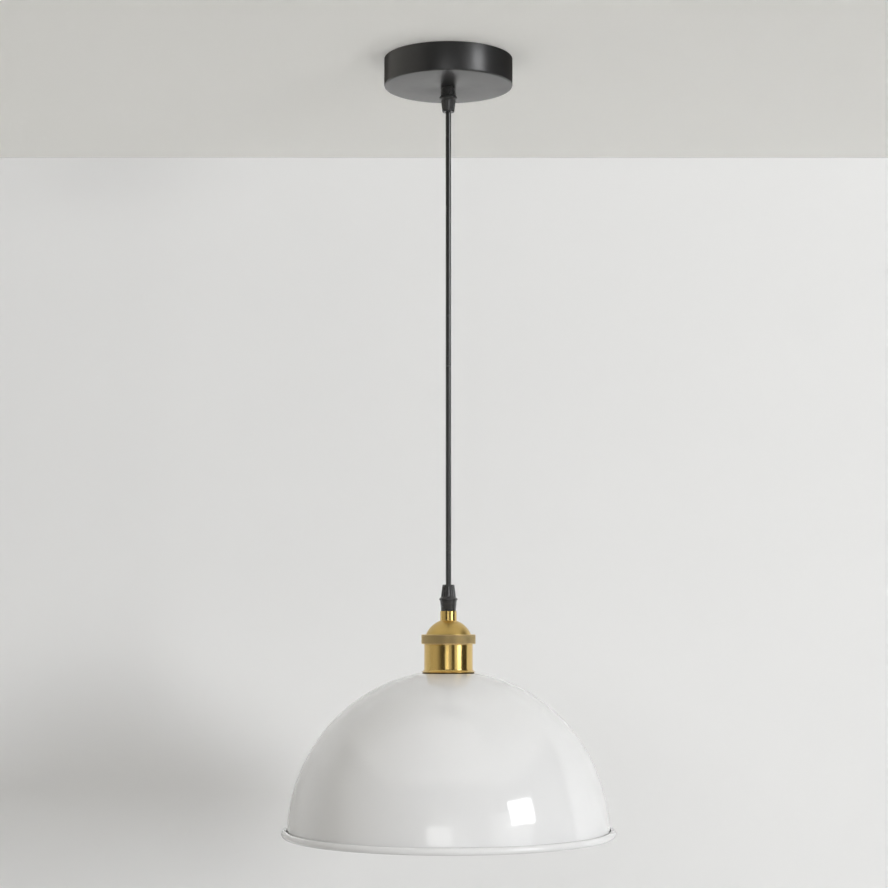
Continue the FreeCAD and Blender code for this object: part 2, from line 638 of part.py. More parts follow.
def cable():
    """The straight cable in three stretches, split where it bends when the light swings."""
    stub_end = "-bend_top + cable_radius + bend_gap"
    stub = solid("Cylinder", "cable_stub", z=stub_end, Radius="cable_radius",
                 Height="bend_top - cable_radius - bend_gap - cable_top")
    node(stub, "cable_stub")
    rod = solid("Cylinder", "bend_rod", z="-bend_low", Radius="cable_radius",
                Height="bend_low - bend_top")
    ends = [solid("Sphere", f"bend_end_{index}", z=z, Radius="cable_radius")
            for index, z in enumerate(("-bend_top", "-bend_low"))]
    node(fuse("cable_bend", [rod] + ends), "cable_bend")
    main = solid("Cylinder", "flex_cable", z="-holder_drop - cable_end", Radius="cable_radius",
                 Height="holder_drop + cable_end - bend_low - cable_radius - bend_gap")
    node(main, "flex_cable")


# --- Lampholder ---------------------------------------------------------------------------------

def in_holder(body, name):
    """Place a piece that is drawn downwards from the holder's top."""
    return node(place(body, z="-holder_drop"), name)


def holder_cap():
    """Spun brass cap: a short neck over a domed shoulder, with a skirt inside the ring."""
    in_holder(turned_body("holder_cap", [
        ("nipple_radius + thread_gap", "0"),
        ("nipple_radius + thread_gap", "-vault_start", "~dome_radius - brass_wall"),
        ("skirt_radius - brass_wall", "-vault_end"),
        ("skirt_radius - brass_wall", "-ring_drop - skirt_lap"),
        ("skirt_radius", "-ring_drop - skirt_lap"),
        ("skirt_radius", "-ring_drop", "dome_radius"),
        ("dome_foot", "-dome_start"),
        ("neck_radius", "-neck_height"),
        ("neck_radius", "0"),
    ]), "holder_cap")


def knurled_ring():
    """Ring that draws the cap on to the sleeve; its knurl is a surface finish."""
    in_holder(turned_body("knurled_ring", [
        ("skirt_radius + screw_gap", "-ring_drop"),
        ("skirt_radius + screw_gap", "-ring_drop - ring_height"),
        ("ring_radius", "-ring_drop - ring_height"),
        ("ring_radius", "-ring_drop"),
    ]), "knurled_ring")


def holder_sleeve():
    """Drawn brass sleeve with a hollow flare at its foot and a ledge for the collar's head."""
    in_holder(turned_body("holder_sleeve", [
        ("sleeve_radius - brass_wall", "-ring_drop - ring_height"),
        ("sleeve_radius - brass_wall", "-sleeve_ledge"),
        ("ledge_bore", "-sleeve_ledge"),
        ("ledge_bore", "-sleeve_drop"),
        ("flare_radius", "-sleeve_drop"),
        ("flare_radius", "flare_lip - sleeve_drop", "~flare_sweep"),
        ("sleeve_radius", "flare_height - sleeve_drop"),
        ("sleeve_radius", "-ring_drop - ring_height"),
    ]), "holder_sleeve")


def porcelain_core():
    """Porcelain body: a head that carries the terminals and a tube round the screw shell."""
    in_holder(turned_body("porcelain_core", [
        ("rivet_hole", "-core_top"),
        ("rivet_hole", "-core_floor"),
        ("core_cavity", "-core_floor"),
        ("core_cavity", "-core_foot"),
        ("core_tube", "-core_foot"),
        ("core_tube", "-core_seat"),
        ("core_outer", "-core_seat"),
        ("core_outer", "-core_top"),
    ]), "porcelain_core")


def screw_shell():
    """Thin brass shell that the bulb's cap screws into."""
    in_holder(turned_body("screw_shell", [
        ("shell_hole", "-core_floor"),
        ("shell_hole", "-core_floor - shell_wall"),
        ("shell_radius - shell_wall", "-core_floor - shell_wall"),
        ("shell_radius - shell_wall", "-shell_foot"),
        ("shell_radius", "-shell_foot"),
        ("shell_radius", "-core_floor"),
    ]), "screw_shell")


def centre_contact():
    """Brass rivet through the porcelain with a contact button under it."""
    in_holder(turned_body("centre_contact", [
        ("0", "rivet_head - core_top"),
        ("0", "-core_floor - contact_button"),
        ("contact_head", "-core_floor - contact_button"),
        ("contact_head", "-core_floor"),
        ("rivet_hole - screw_gap", "-core_floor"),
        ("rivet_hole - screw_gap", "-core_top"),
        ("rivet_radius", "-core_top"),
        ("rivet_radius", "rivet_head - core_top"),
    ]), "centre_contact")


def threaded_collar():
    """Collar that hangs through the shade's hole; its head rests on the sleeve's ledge."""
    in_holder(turned_body("threaded_collar", [
        ("collar_bore", "-core_seat"),
        ("collar_bore", "-collar_foot"),
        ("collar_radius", "-collar_foot"),
        ("collar_radius", "-sleeve_ledge"),
        ("collar_head", "-sleeve_ledge"),
        ("collar_head", "-core_seat"),
    ]), "threaded_collar")


def holder_terminals():
    """Three brass terminals on the porcelain, each with a screw and the core that it clamps."""
    blocks, screws = [], []
    for index, name in enumerate(CORE_NAMES):
        angle = 90.0 + index * FULL_TURN / POLES
        half = SIZE["clamp_size"] / 2.0
        floor = -SIZE["holder_drop"] - SIZE["core_top"]
        centre = polar(SIZE["clamp_reach"], angle, floor)
        block = solid("Box", f"clamp_{index}", Length="clamp_size", Width="clamp_size",
                      Height="clamp_size")
        corner = centre + polar(half, angle + 180.0, 0) + polar(half, angle - 90.0, 0)
        block.Placement = FreeCAD.Placement(corner, FreeCAD.Rotation(FreeCAD.Vector(0, 0, 1), angle))
        tapped = solid("Cylinder", f"clamp_tap_{index}", Radius="clamp_screw + screw_gap",
                       Height="clamp_size")
        tapped.Placement.Base = centre
        entry = solid("Cylinder", f"clamp_entry_{index}", Radius="core_radius + screw_gap",
                      Height="clamp_size")
        turn = FreeCAD.Rotation(FreeCAD.Vector(0, 0, 1), angle) * FreeCAD.Rotation(FreeCAD.Vector(0, 1, 0), 90)
        entry.Placement = FreeCAD.Placement(
            centre + polar(half, angle + 180.0, 0) + FreeCAD.Vector(0, 0, half), turn)
        blocks.append(cut(f"clamp_{index}", block, [tapped, entry]))
        shank = solid("Cylinder", f"clamp_shank_{index}", Radius="clamp_screw", Height="clamp_screw")
        head = solid("Cylinder", f"clamp_head_{index}", Radius="clamp_head", Height="clamp_head")
        top = centre + FreeCAD.Vector(0, 0, SIZE["clamp_size"])
        shank.Placement.Base = top - FreeCAD.Vector(0, 0, SIZE["clamp_screw"])
        head.Placement.Base = top
        screws.append(fuse(f"clamp_screw_{index}", [shank, head]))
        end_z = half - SIZE["core_top"]
        start_z = -SIZE["cable_end"] - SIZE["bend_gap"]
        points = [polar(SIZE["core_ring"], angle, start_z),
                  polar(SIZE["core_ring"], angle, start_z - SIZE["core_run"]),
                  polar(SIZE["clamp_reach"] / 2.0, angle, end_z),
                  polar(SIZE["clamp_reach"] - SIZE["clamp_lap"], angle, end_z)]
        insulated_core("holder_core_" + name, points, SIZE["holder_drop"])
    group("holder_terminals", blocks)
    group("holder_terminal_screws", screws)


# --- Shade --------------------------------------------------------------------------------------

def shade():
    """Spun steel dome with a flat seat and a hole at the top and a rolled rim."""
    body = turned_body("shade", [
        ("shade_hole", "seat_height"),
        ("shade_hole", "seat_height - shade_wall"),
        ("seat_inner", "seat_height - shade_wall", "~shade_radius - shade_wall"),
        ("shade_radius - shade_wall", "0"),
        ("shade_radius", "0", "shade_radius"),
        ("seat_radius", "seat_height"),
    ])
    section = new_sketch(body, "bead_section", "XZ_Plane")
    centre = FreeCAD.Vector(SIZE["bead_reach"], 0, 0)
    circle = Part.Circle(centre, FreeCAD.Vector(0, 0, 1), SIZE["bead_radius"])
    ring = section.addGeometry(circle, False)
    held = [
        (Sketcher.Constraint("Radius", ring, SIZE["bead_radius"]), "bead_radius"),
        (Sketcher.Constraint("DistanceX", -1, 1, ring, 3, SIZE["bead_reach"]), "bead_reach"),
        (Sketcher.Constraint("PointOnObject", ring, 3, -1), None),
    ]
    for constraint, name in held:
        index = section.addConstraint(constraint)
        if name:
            section.setExpression(f"Constraints[{index}]", on_sheet(name))
    bead = body.newObject("PartDesign::Revolution", "bead_turn")
    bead.Profile = section
    bead.ReferenceAxis = (section, ["V_Axis"])
    bead.Angle = FULL_TURN
    node(place(body, z="-shade_centre"), "shade")


def shade_ring():
    """Ring nut inside the shade, screwed up the collar to clamp the shade to the sleeve."""
    top = "-sleeve_drop - shade_wall"
    bottom = top + " - nut_ring_height"
    in_holder(turned_body("shade_ring", [
        ("collar_radius + screw_gap", top),
        ("collar_radius + screw_gap", bottom),
        ("nut_ring_radius - nut_ring_edge", bottom),
        ("nut_ring_radius", bottom + " + nut_ring_edge"),
        ("nut_ring_radius", top),
    ]), "shade_ring")


# --- Bulb ---------------------------------------------------------------------------------------

def bulb():
    """Opal screw-cap bulb: contact tip, insulator, cap and glass, drawn down from the tip."""
    z = "-holder_drop - core_floor - contact_button - tip_gap"
    ring_top = "-tip_height"
    ring_foot = "-tip_height - glass_ring_height"
    cap_foot = ring_foot + " - cap_height"
    shoulder = cap_foot + " - shoulder_drop"
    centre = "globe_radius - bulb_length"
    pieces = {
        "bulb_contact_tip": [
            ("0", "0"), ("0", ring_top), ("tip_radius", ring_top), ("tip_radius", "-0.6 * tip_height"),
            ("0.5 * tip_radius", "0")],
        "bulb_insulator": [
            ("0", ring_top), ("0", ring_foot), ("glass_ring_radius", ring_foot),
            ("glass_ring_radius", ring_foot + " + 0.3 * glass_ring_height"), ("tip_radius", ring_top)],
        "bulb_cap": [
            ("cap_throat", ring_foot),
            ("cap_throat", ring_foot + " - cap_wall"),
            ("cap_radius - cap_wall", ring_foot + " - cap_cone"),
            ("cap_radius - cap_wall", cap_foot),
            ("cap_radius", cap_foot),
            ("cap_radius", ring_foot + " - cap_cone"),
            ("glass_ring_radius", ring_foot)],
        "bulb_glass": [
            ("bulb_neck - glass_wall", cap_foot + " + neck_depth"),
            ("bulb_neck - glass_wall", cap_foot),
            ("bulb_shoulder - glass_wall", shoulder),
            ("tangent_radius_in", centre + " + tangent_rise_in", "~globe_radius - glass_wall"),
            ("0", "glass_wall - bulb_length"),
            ("0", "-bulb_length", "globe_radius"),
            ("tangent_radius", centre + " + tangent_rise"),
            ("bulb_shoulder", shoulder),
            ("bulb_neck", cap_foot),
            ("bulb_neck", cap_foot + " + neck_depth")],
    }
    for name, outline in pieces.items():
        node(place(turned_body(name, outline), z=z), name)


def build():
    canopy_cup()
    mounting_bracket()
    hollow_nipple("upper_nipple", "cup_height + nipple_grip - nipple_drop", "-cup_height - nipple_grip")
    lock_nuts()
    canopy_washer()
    earth_terminal()
    terminal_block()
    canopy_cores()
    cord_grip("upper", "-cup_height", True)
    cable()
    cord_grip("lower", "-holder_drop", False)
    hollow_nipple("lower_nipple", "nipple_grip + nipple_neck", "-holder_drop - nipple_neck")
    holder_cap()
    knurled_ring()
    holder_sleeve()
    porcelain_core()
    screw_shell()
    centre_contact()
    holder_terminals()
    threaded_collar()
    shade_ring()
    shade()
    bulb()
    DOC.recompute()


def check_and_write():
    """Stop on any failed object, then write one file for each sub-part."""
    failed = [item.Name for item in DOC.Objects if {"Invalid", "Error"} & set(item.State)]
    failed += [item.Label for item in NODES if item.Shape.isNull() or not item.Shape.isValid()]
    failed += [item.Label for item in NODES if not item.Shape.Solids]
    if failed:
        raise RuntimeError("failed objects: " + ", ".join(failed))
    os.makedirs("parts", exist_ok=True)
    for item in NODES:
        item.Shape.exportStep(os.path.join("parts", item.Label + ".step"))
        print(f"{item.Label:26s} {item.Shape.Volume:12.1f} mm3  solids {len(item.Shape.Solids)}")


build()
check_and_write()
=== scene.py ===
# %% [markdown]
# # A pendant ceiling light
# A black cup on the ceiling, a straight black cable, a brass lampholder with a knurled ring, and a
# white enamelled dome. The frame below holds every part at its real place and size. Each cell makes
# one piece or one finish over it. Sizes are read from the frame where a part's box gives them, and
# the others are named here, in millimetres.

# %% Load the frame
import math

import bmesh
import bpy
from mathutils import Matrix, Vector


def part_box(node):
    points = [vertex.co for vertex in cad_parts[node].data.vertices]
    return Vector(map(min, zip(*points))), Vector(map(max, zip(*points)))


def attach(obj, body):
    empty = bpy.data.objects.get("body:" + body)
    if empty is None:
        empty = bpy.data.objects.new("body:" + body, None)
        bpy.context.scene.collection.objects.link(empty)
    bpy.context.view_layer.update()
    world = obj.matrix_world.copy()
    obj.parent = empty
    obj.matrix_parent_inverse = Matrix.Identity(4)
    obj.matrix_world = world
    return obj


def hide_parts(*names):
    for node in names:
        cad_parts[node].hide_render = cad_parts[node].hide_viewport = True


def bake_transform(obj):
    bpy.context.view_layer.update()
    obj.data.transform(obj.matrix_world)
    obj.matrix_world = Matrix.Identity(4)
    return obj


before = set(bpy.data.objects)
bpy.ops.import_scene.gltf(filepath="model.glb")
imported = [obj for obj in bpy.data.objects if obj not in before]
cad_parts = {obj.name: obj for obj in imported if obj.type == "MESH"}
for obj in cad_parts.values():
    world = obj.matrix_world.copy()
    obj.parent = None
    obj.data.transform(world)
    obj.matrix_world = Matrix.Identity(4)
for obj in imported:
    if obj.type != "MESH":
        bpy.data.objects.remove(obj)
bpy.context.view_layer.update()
MM = 0.001
print("parts in the frame:", len(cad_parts))

# %% [markdown]
# ## Camera
# The light is seen from in front, a little below its middle, with a long lens. Such a lens keeps
# the cup, which is high in the picture, and the shade, which is low, in true proportion.

# %% Camera
EYE_DISTANCE = 1.828
EYE_HEIGHT = -0.520
EYE_SIDE = -0.00406
EYE_TILT = 4.94

lens = bpy.data.cameras.new("camera")
lens.lens = 80.7
lens.sensor_width = 36.0
camera = bpy.data.objects.new("camera", lens)
camera.location = (EYE_SIDE, -EYE_DISTANCE, EYE_HEIGHT)
camera.rotation_euler = (math.radians(90.0 + EYE_TILT), 0.0, 0.0)
bpy.context.collection.objects.link(camera)
bpy.context.scene.camera = camera
print("camera", tuple(round(x, 3) for x in camera.location))

# %% [markdown]
# ## Node trees
# Geometry trees and shader trees are wired the same way, so one small class does both: it makes the
# named sockets, adds a node with its values or links, and joins a socket to an output.

# %% A class that wires node trees
class Wiring:
    """A node tree that is being wired: a new group, or the tree of a material."""

    def __init__(self, name, kind, inputs, outputs, tree=None):
        self.tree = tree or bpy.data.node_groups.new(name, kind)
        for side, sockets in (("INPUT", inputs), ("OUTPUT", outputs)):
            for label, socket_kind, *start in sockets:
                made = self.tree.interface.new_socket(
                    label, in_out=side, socket_type="NodeSocket" + socket_kind)
                if start:
                    made.default_value = start[0]
        if inputs or outputs:
            self.given = self.tree.nodes.new("NodeGroupInput").outputs
            self.result = self.tree.nodes.new("NodeGroupOutput").inputs

    def feed(self, socket, value):
        if isinstance(value, bpy.types.NodeSocket):
            self.tree.links.new(value, socket)
        else:
            socket.default_value = value

    def node(self, kind, values=None, **settings):
        made = self.tree.nodes.new(kind)
        for key, value in settings.items():
            setattr(made, key, value)
        for key, value in (values or {}).items():
            self.feed(made.inputs[key], value)
        return made

    def math(self, operation, *values):
        made = self.tree.nodes.new("ShaderNodeMath")
        made.operation = operation
        for socket, value in zip(made.inputs, values):
            self.feed(socket, value)
        return made.outputs[0]


# %% [markdown]
# ## Turned pieces
# Nearly every part of this light was spun, turned or drawn, so it is round about the cable. A
# turned piece needs only half of its section: a closed outline of corners, each with the radius
# that eases it. A Screw modifier could do it too. Making the rings of points in code keeps the pole
# and the seam closed, and lets an outline carry finer steps where a thread or knurl will be rolled.

# %% Outlines: eased corners and arcs
def arc(across, up, radius, start, end, steps=16):
    """Points of an arc about (across, up), from one angle to another, in degrees."""
    angles = [math.radians(start + (end - start) * step / steps) for step in range(steps + 1)]
    return [(across + radius * math.cos(a), up + radius * math.sin(a)) for a in angles]


def eased(corners, steps=5):
    """The outline with a round of the given radius at each corner that has a third entry."""
    points = []
    for index, corner in enumerate(corners):
        here = Vector(corner[:2])
        if len(corner) < 3 or corner[2] <= 0.0:
            points.append(here)
            continue
        back = Vector(corners[index - 1][:2]) - here
        on = Vector(corners[(index + 1) % len(corners)][:2]) - here
        half = back.angle(on) / 2.0
        reach = min(corner[2] / math.tan(half), 0.48 * back.length, 0.48 * on.length)
        radius = reach * math.tan(half)
        centre = here + (back.normalized() + on.normalized()).normalized() * (radius / math.sin(half))
        first = here + back.normalized() * reach - centre
        last = here + on.normalized() * reach - centre
        sweep = first.angle_signed(last)
        for step in range(steps + 1):
            turn = -sweep * step / steps
            points.append(centre + Vector((first.x * math.cos(turn) - first.y * math.sin(turn),
                                           first.x * math.sin(turn) + first.y * math.cos(turn))))
    return [(p[0], p[1]) for p in points]


def finer(outline, longest, low=-1e9, high=1e9, least=0.0):
    """The outline with every edge that lies in the band cut into steps no longer than that."""
    points = []
    for index, start in enumerate(outline):
        end = outline[(index + 1) % len(outline)]
        inside = all(low - 1e-6 <= p[1] <= high + 1e-6 and p[0] >= least for p in (start, end))
        parts = max(1, math.ceil(math.dist(start, end) / longest)) if inside else 1
        points += [tuple(a + (b - a) * part / parts for a, b in zip(start, end)) for part in range(parts)]
    return points


# %% Turn an outline into a closed mesh
def mark_edges(mesh):
    """How much each point stands on an edge, 0 to 1, for finishes that wear there."""
    shape = bmesh.new()
    shape.from_mesh(mesh)
    worn = [max([edge.calc_face_angle(0.0) for edge in point.link_edges], default=0.0)
            for point in shape.verts]
    shape.free()
    attribute = mesh.attributes.new("edge", "FLOAT", "POINT")
    attribute.data.foreach_set("value", [min(1.0, angle / 0.6) for angle in worn])


def new_piece(name, mesh, material, sharp=32.0):
    mesh.materials.clear()
    mesh.materials.append(material)
    mesh.shade_smooth()
    mesh.set_sharp_from_angle(angle=math.radians(sharp))
    piece = bpy.data.objects.new(name, mesh)
    bpy.context.collection.objects.link(piece)
    return piece


def turned(name, outline, material, sides=160, drop=0.0, flip=1.0):
    """A closed solid of revolution about the cable's axis, its outline in millimetres."""
    shape = bmesh.new()
    rings = []
    for across, up in outline:
        height = (drop + flip * up) * MM
        if across < 1e-6:
            rings.append([shape.verts.new((0.0, 0.0, height))])
            continue
        angles = [2.0 * math.pi * side / sides for side in range(sides)]
        rings.append([shape.verts.new((across * MM * math.cos(a), across * MM * math.sin(a), height))
                      for a in angles])
    for index, ring in enumerate(rings):
        other = rings[(index + 1) % len(rings)]
        if len(ring) == 1 and len(other) == 1:
            continue
        for side in range(sides):
            near, far = side, (side + 1) % sides
            corners = [ring[near % len(ring)], ring[far % len(ring)],
                       other[far % len(other)], other[near % len(other)]]
            shape.faces.new(list(dict.fromkeys(corners)))
    bmesh.ops.recalc_face_normals(shape, faces=shape.faces)
    mesh = bpy.data.meshes.new(name)
    shape.to_mesh(mesh)
    shape.free()
    mark_edges(mesh)
    return new_piece(name, mesh, material)


# %% Sizes read from the frame
def reach(node):
    """A round part's outer radius, bottom and top, in millimetres."""
    low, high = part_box(node)
    return high[0] / MM, low[2] / MM, high[2] / MM


HOLDER_TOP = reach("holder_cap")[2]
CUP_RADIUS, CUP_FLOOR, CEILING = reach("canopy_cup")
print("cup", CUP_RADIUS, CUP_FLOOR, "holder top", HOLDER_TOP)

# %% [markdown]
# ## Rolled, fluted and threaded surfaces
# A knurl, a thread, a row of flutes and a row of rings are all made on the real part in one way: a
# tool presses or cuts a turned blank. All four are waves that run round the blank, along it, or
# both. So one Geometry Nodes tree makes them all. It moves each point of the blank inwards by the
# wave's depth, inside a band of heights, and keeps the depth as an attribute that a finish can read.

# %% The tree that rolls a pattern on a turned blank
def rolled_tree():
    wiring = Wiring("roll_on_blank", "GeometryNodeTree", [
        ("Geometry", "Geometry"), ("Waves Round", "Float", 0.0), ("Waves Along", "Float", 0.0),
        ("Crossed", "Float", 0.0), ("Depth", "Float", 0.0), ("Sharpness", "Float", 1.0),
        ("Low", "Float", 0.0), ("High", "Float", 1.0), ("Fade", "Float", 0.0005),
        ("Least Radius", "Float", 0.0), ("Finish", "Material")], [("Geometry", "Geometry")])
    given, math_node = wiring.given, wiring.math
    place = wiring.node("ShaderNodeSeparateXYZ",
                        {0: wiring.tree.nodes.new("GeometryNodeInputPosition").outputs[0]}).outputs
    radius = math_node("SQRT", math_node("ADD", math_node("MULTIPLY", place[0], place[0]),
                                         math_node("MULTIPLY", place[1], place[1])))
    turn = math_node("DIVIDE", math_node("ARCTAN2", place[1], place[0]), 2.0 * math.pi)
    round_phase = math_node("MULTIPLY", turn, given["Waves Round"])
    along_phase = math_node("MULTIPLY", place[2], given["Waves Along"])
    mirror = math_node("SUBTRACT", 1.0, math_node("MULTIPLY", 2.0, given["Crossed"]))
    waves = []
    for phase in (round_phase, math_node("MULTIPLY", round_phase, mirror)):
        angle = math_node("MULTIPLY", math_node("ADD", phase, along_phase), 2.0 * math.pi)
        waves.append(math_node("MULTIPLY_ADD", math_node("COSINE", angle), 0.5, 0.5))
    cut = math_node("POWER", math_node("MAXIMUM", *waves), given["Sharpness"])
    lower = wiring.node("ShaderNodeMapRange", {
        "Value": place[2], "From Min": given["Low"],
        "From Max": math_node("ADD", given["Low"], given["Fade"])}, interpolation_type="SMOOTHSTEP")
    upper = wiring.node("ShaderNodeMapRange", {
        "Value": place[2], "From Min": given["High"],
        "From Max": math_node("SUBTRACT", given["High"], given["Fade"])},
        interpolation_type="SMOOTHSTEP")
    band = math_node("MULTIPLY", math_node("MULTIPLY", lower.outputs[0], upper.outputs[0]),
                     math_node("GREATER_THAN", radius, given["Least Radius"]))
    cut = math_node("MULTIPLY", cut, band)
    scale = math_node("SUBTRACT", 1.0, math_node(
        "DIVIDE", math_node("MULTIPLY", cut, given["Depth"]), math_node("MAXIMUM", radius, 1e-6)))
    moved = wiring.node("ShaderNodeCombineXYZ", {
        0: math_node("MULTIPLY", place[0], scale), 1: math_node("MULTIPLY", place[1], scale),
        2: place[2]})
    kept = wiring.node("GeometryNodeStoreNamedAttribute",
                       {"Geometry": given["Geometry"], "Name": "groove", "Value": cut})
    formed = wiring.node("GeometryNodeSetPosition",
                         {"Geometry": kept.outputs[0], "Position": moved.outputs[0]})
    real = wiring.node("GeometryNodeRealizeInstances", {"Geometry": formed.outputs[0]})
    done = wiring.node("GeometryNodeSetMaterial",
                       {"Geometry": real.outputs[0], "Material": given["Finish"]})
    wiring.feed(wiring.result["Geometry"], done.outputs[0])
    return wiring.tree


ROLL = rolled_tree()


# %% Apply a tree and keep the plain mesh
def grown(piece, tree, values, sharp=32.0):
    """The piece with the tree's result as its own mesh; the modifier is gone afterwards."""
    modifier = piece.modifiers.new(tree.name, "NODES")
    modifier.node_group = tree
    for item in tree.interface.items_tree:
        if item.in_out == "INPUT" and item.name in values:
            modifier[item.identifier] = values[item.name]
    piece.update_tag()
    evaluated = piece.evaluated_get(bpy.context.evaluated_depsgraph_get())
    mesh = bpy.data.meshes.new_from_object(evaluated)
    piece.modifiers.remove(modifier)
    piece.data = mesh
    mesh.shade_smooth()
    mesh.set_sharp_from_angle(angle=math.radians(sharp))
    return piece


def rolled(piece, material, low, high, depth, around=0.0, pitch=0.0, crossed=0.0, sharpness=1.0,
           fade=0.5, least=0.0, sharp=60.0):
    """A pattern on the piece between two heights; lengths in millimetres."""
    return grown(piece, ROLL, {
        "Waves Round": float(around), "Waves Along": 1.0 / (pitch * MM) if pitch else 0.0,
        "Crossed": float(crossed), "Depth": depth * MM, "Sharpness": float(sharpness),
        "Low": low * MM, "High": high * MM, "Fade": fade * MM, "Least Radius": least * MM,
        "Finish": material}, sharp)


# %% [markdown]
# ## Shared effects of the finishes
# Real surfaces are never one flat colour. Four effects are used by several finishes, so each is a
# shader group that gives only masks and heights: the fine grain of paint and plastic, the lines that
# turning leaves on metal, the cloudy smudges of handling, and the rub on edges.

# %% Shader groups
def grain_group():
    """Fine pebbling of paint or moulded plastic."""
    wiring = Wiring("fine_grain", "ShaderNodeTree", [("Scale", "Float", 1000.0)],
                    [("Height", "Float"), ("Mask", "Float")])
    where = wiring.tree.nodes.new("ShaderNodeTexCoord").outputs["Object"]
    fine = wiring.node("ShaderNodeTexNoise", {
        "Vector": where, "Scale": wiring.given["Scale"], "Detail": 3.0, "Roughness": 0.55})
    broad = wiring.node("ShaderNodeTexNoise", {
        "Vector": where, "Scale": wiring.math("MULTIPLY", wiring.given["Scale"], 0.06),
        "Detail": 4.0, "Roughness": 0.6})
    wiring.feed(wiring.result["Height"], fine.outputs[0])
    wiring.feed(wiring.result["Mask"], broad.outputs[0])
    return wiring.tree


def turning_group():
    """Lines round the axis, as a lathe tool or a spinning roller leaves them."""
    wiring = Wiring("turning_lines", "ShaderNodeTree", [("Scale", "Float", 3000.0)],
                    [("Height", "Float"), ("Mask", "Float")])
    where = wiring.tree.nodes.new("ShaderNodeTexCoord").outputs["Object"]
    place = wiring.node("ShaderNodeSeparateXYZ", {0: where}).outputs
    radius = wiring.math("SQRT", wiring.math("ADD", wiring.math("MULTIPLY", place[0], place[0]),
                                             wiring.math("MULTIPLY", place[1], place[1])))
    along = wiring.math("MULTIPLY", wiring.math("SUBTRACT", place[2], radius), wiring.given["Scale"])
    side = wiring.math("MULTIPLY", wiring.math("ARCTAN2", place[1], place[0]), 1.5)
    line = wiring.node("ShaderNodeCombineXYZ", {0: along, 1: side})
    lines = wiring.node("ShaderNodeTexNoise", {
        "Vector": line.outputs[0], "Scale": 1.0, "Detail": 2.0, "Roughness": 0.7})
    wiring.feed(wiring.result["Height"], lines.outputs[0])
    slow = wiring.node("ShaderNodeCombineXYZ", {0: wiring.math("MULTIPLY", along, 0.12), 1: side})
    bands = wiring.node("ShaderNodeTexNoise", {"Vector": slow.outputs[0], "Scale": 1.0, "Detail": 3.0})
    wiring.feed(wiring.result["Mask"], bands.outputs[0])
    return wiring.tree


def smudge_group():
    """Cloudy patches where hands and dust have dulled a surface."""
    wiring = Wiring("smudges", "ShaderNodeTree", [("Scale", "Float", 40.0), ("Cover", "Float", 0.5)],
                    [("Mask", "Float")])
    where = wiring.tree.nodes.new("ShaderNodeTexCoord").outputs["Object"]
    cloud = wiring.node("ShaderNodeTexNoise", {
        "Vector": where, "Scale": wiring.given["Scale"], "Detail": 6.0, "Roughness": 0.62,
        "Distortion": 0.4})
    level = wiring.node("ShaderNodeMapRange", {
        "Value": cloud.outputs[0], "From Min": wiring.math("SUBTRACT", 1.0, wiring.given["Cover"]),
        "From Max": wiring.math("SUBTRACT", 1.25, wiring.given["Cover"])})
    wiring.feed(wiring.result["Mask"], level.outputs[0])
    return wiring.tree


def edge_group():
    """Broken rub along the edges, read from the pieces' own edge attribute."""
    wiring = Wiring("edge_rub", "ShaderNodeTree", [("Scale", "Float", 600.0), ("Amount", "Float", 0.5)],
                    [("Mask", "Float")])
    where = wiring.tree.nodes.new("ShaderNodeTexCoord").outputs["Object"]
    edge = wiring.node("ShaderNodeAttribute", attribute_name="edge").outputs["Fac"]
    broken = wiring.node("ShaderNodeTexNoise", {
        "Vector": where, "Scale": wiring.given["Scale"], "Detail": 4.0})
    worn = wiring.math("MULTIPLY", edge, wiring.math("MULTIPLY", broken.outputs[0],
                                                     wiring.given["Amount"]))
    wiring.feed(wiring.result["Mask"], worn)
    return wiring.tree


GRAIN, TURNING, SMUDGE, RUB = grain_group(), turning_group(), smudge_group(), edge_group()


# %% [markdown]
# ## Finishes
# Each finish is one material. It starts from one helper that sets the constant values on the
# shader itself and lays colour variation, uneven gloss and fine relief over them.

# %% A helper for finishes
def start_finish(name, **constants):
    material = bpy.data.materials.new(name)
    material.use_nodes = True
    wiring = Wiring(name, "", [], [], tree=material.node_tree)
    shader = material.node_tree.nodes["Principled BSDF"].inputs
    for label, value in constants.items():
        shader[label.replace("_", " ")].default_value = value
    return material, wiring, shader


def grouped(wiring, group, **values):
    made = wiring.node("ShaderNodeGroup", node_tree=group)
    for label, value in values.items():
        made.inputs[label].default_value = value
    return made.outputs


def mixed(wiring, mask, first, second):
    """A colour between two by a mask."""
    made = wiring.node("ShaderNodeMix", data_type="RGBA")
    wiring.feed(made.inputs[0], mask)
    for socket, colour in zip((made.inputs[6], made.inputs[7]), (first, second)):
        wiring.feed(socket, colour if isinstance(colour, bpy.types.NodeSocket) else (*colour, 1.0))
    return made.outputs[2]


def between(wiring, mask, low, high):
    """A value between two by a mask."""
    return wiring.node("ShaderNodeMapRange", {
        "Value": mask, "To Min": low, "To Max": high}).outputs[0]


def relief(wiring, shader, height, strength, depth_mm):
    bump = wiring.node("ShaderNodeBump", {"Height": height, "Strength": strength,
                                          "Distance": depth_mm * MM})
    wiring.feed(shader["Normal"], bump.outputs[0])


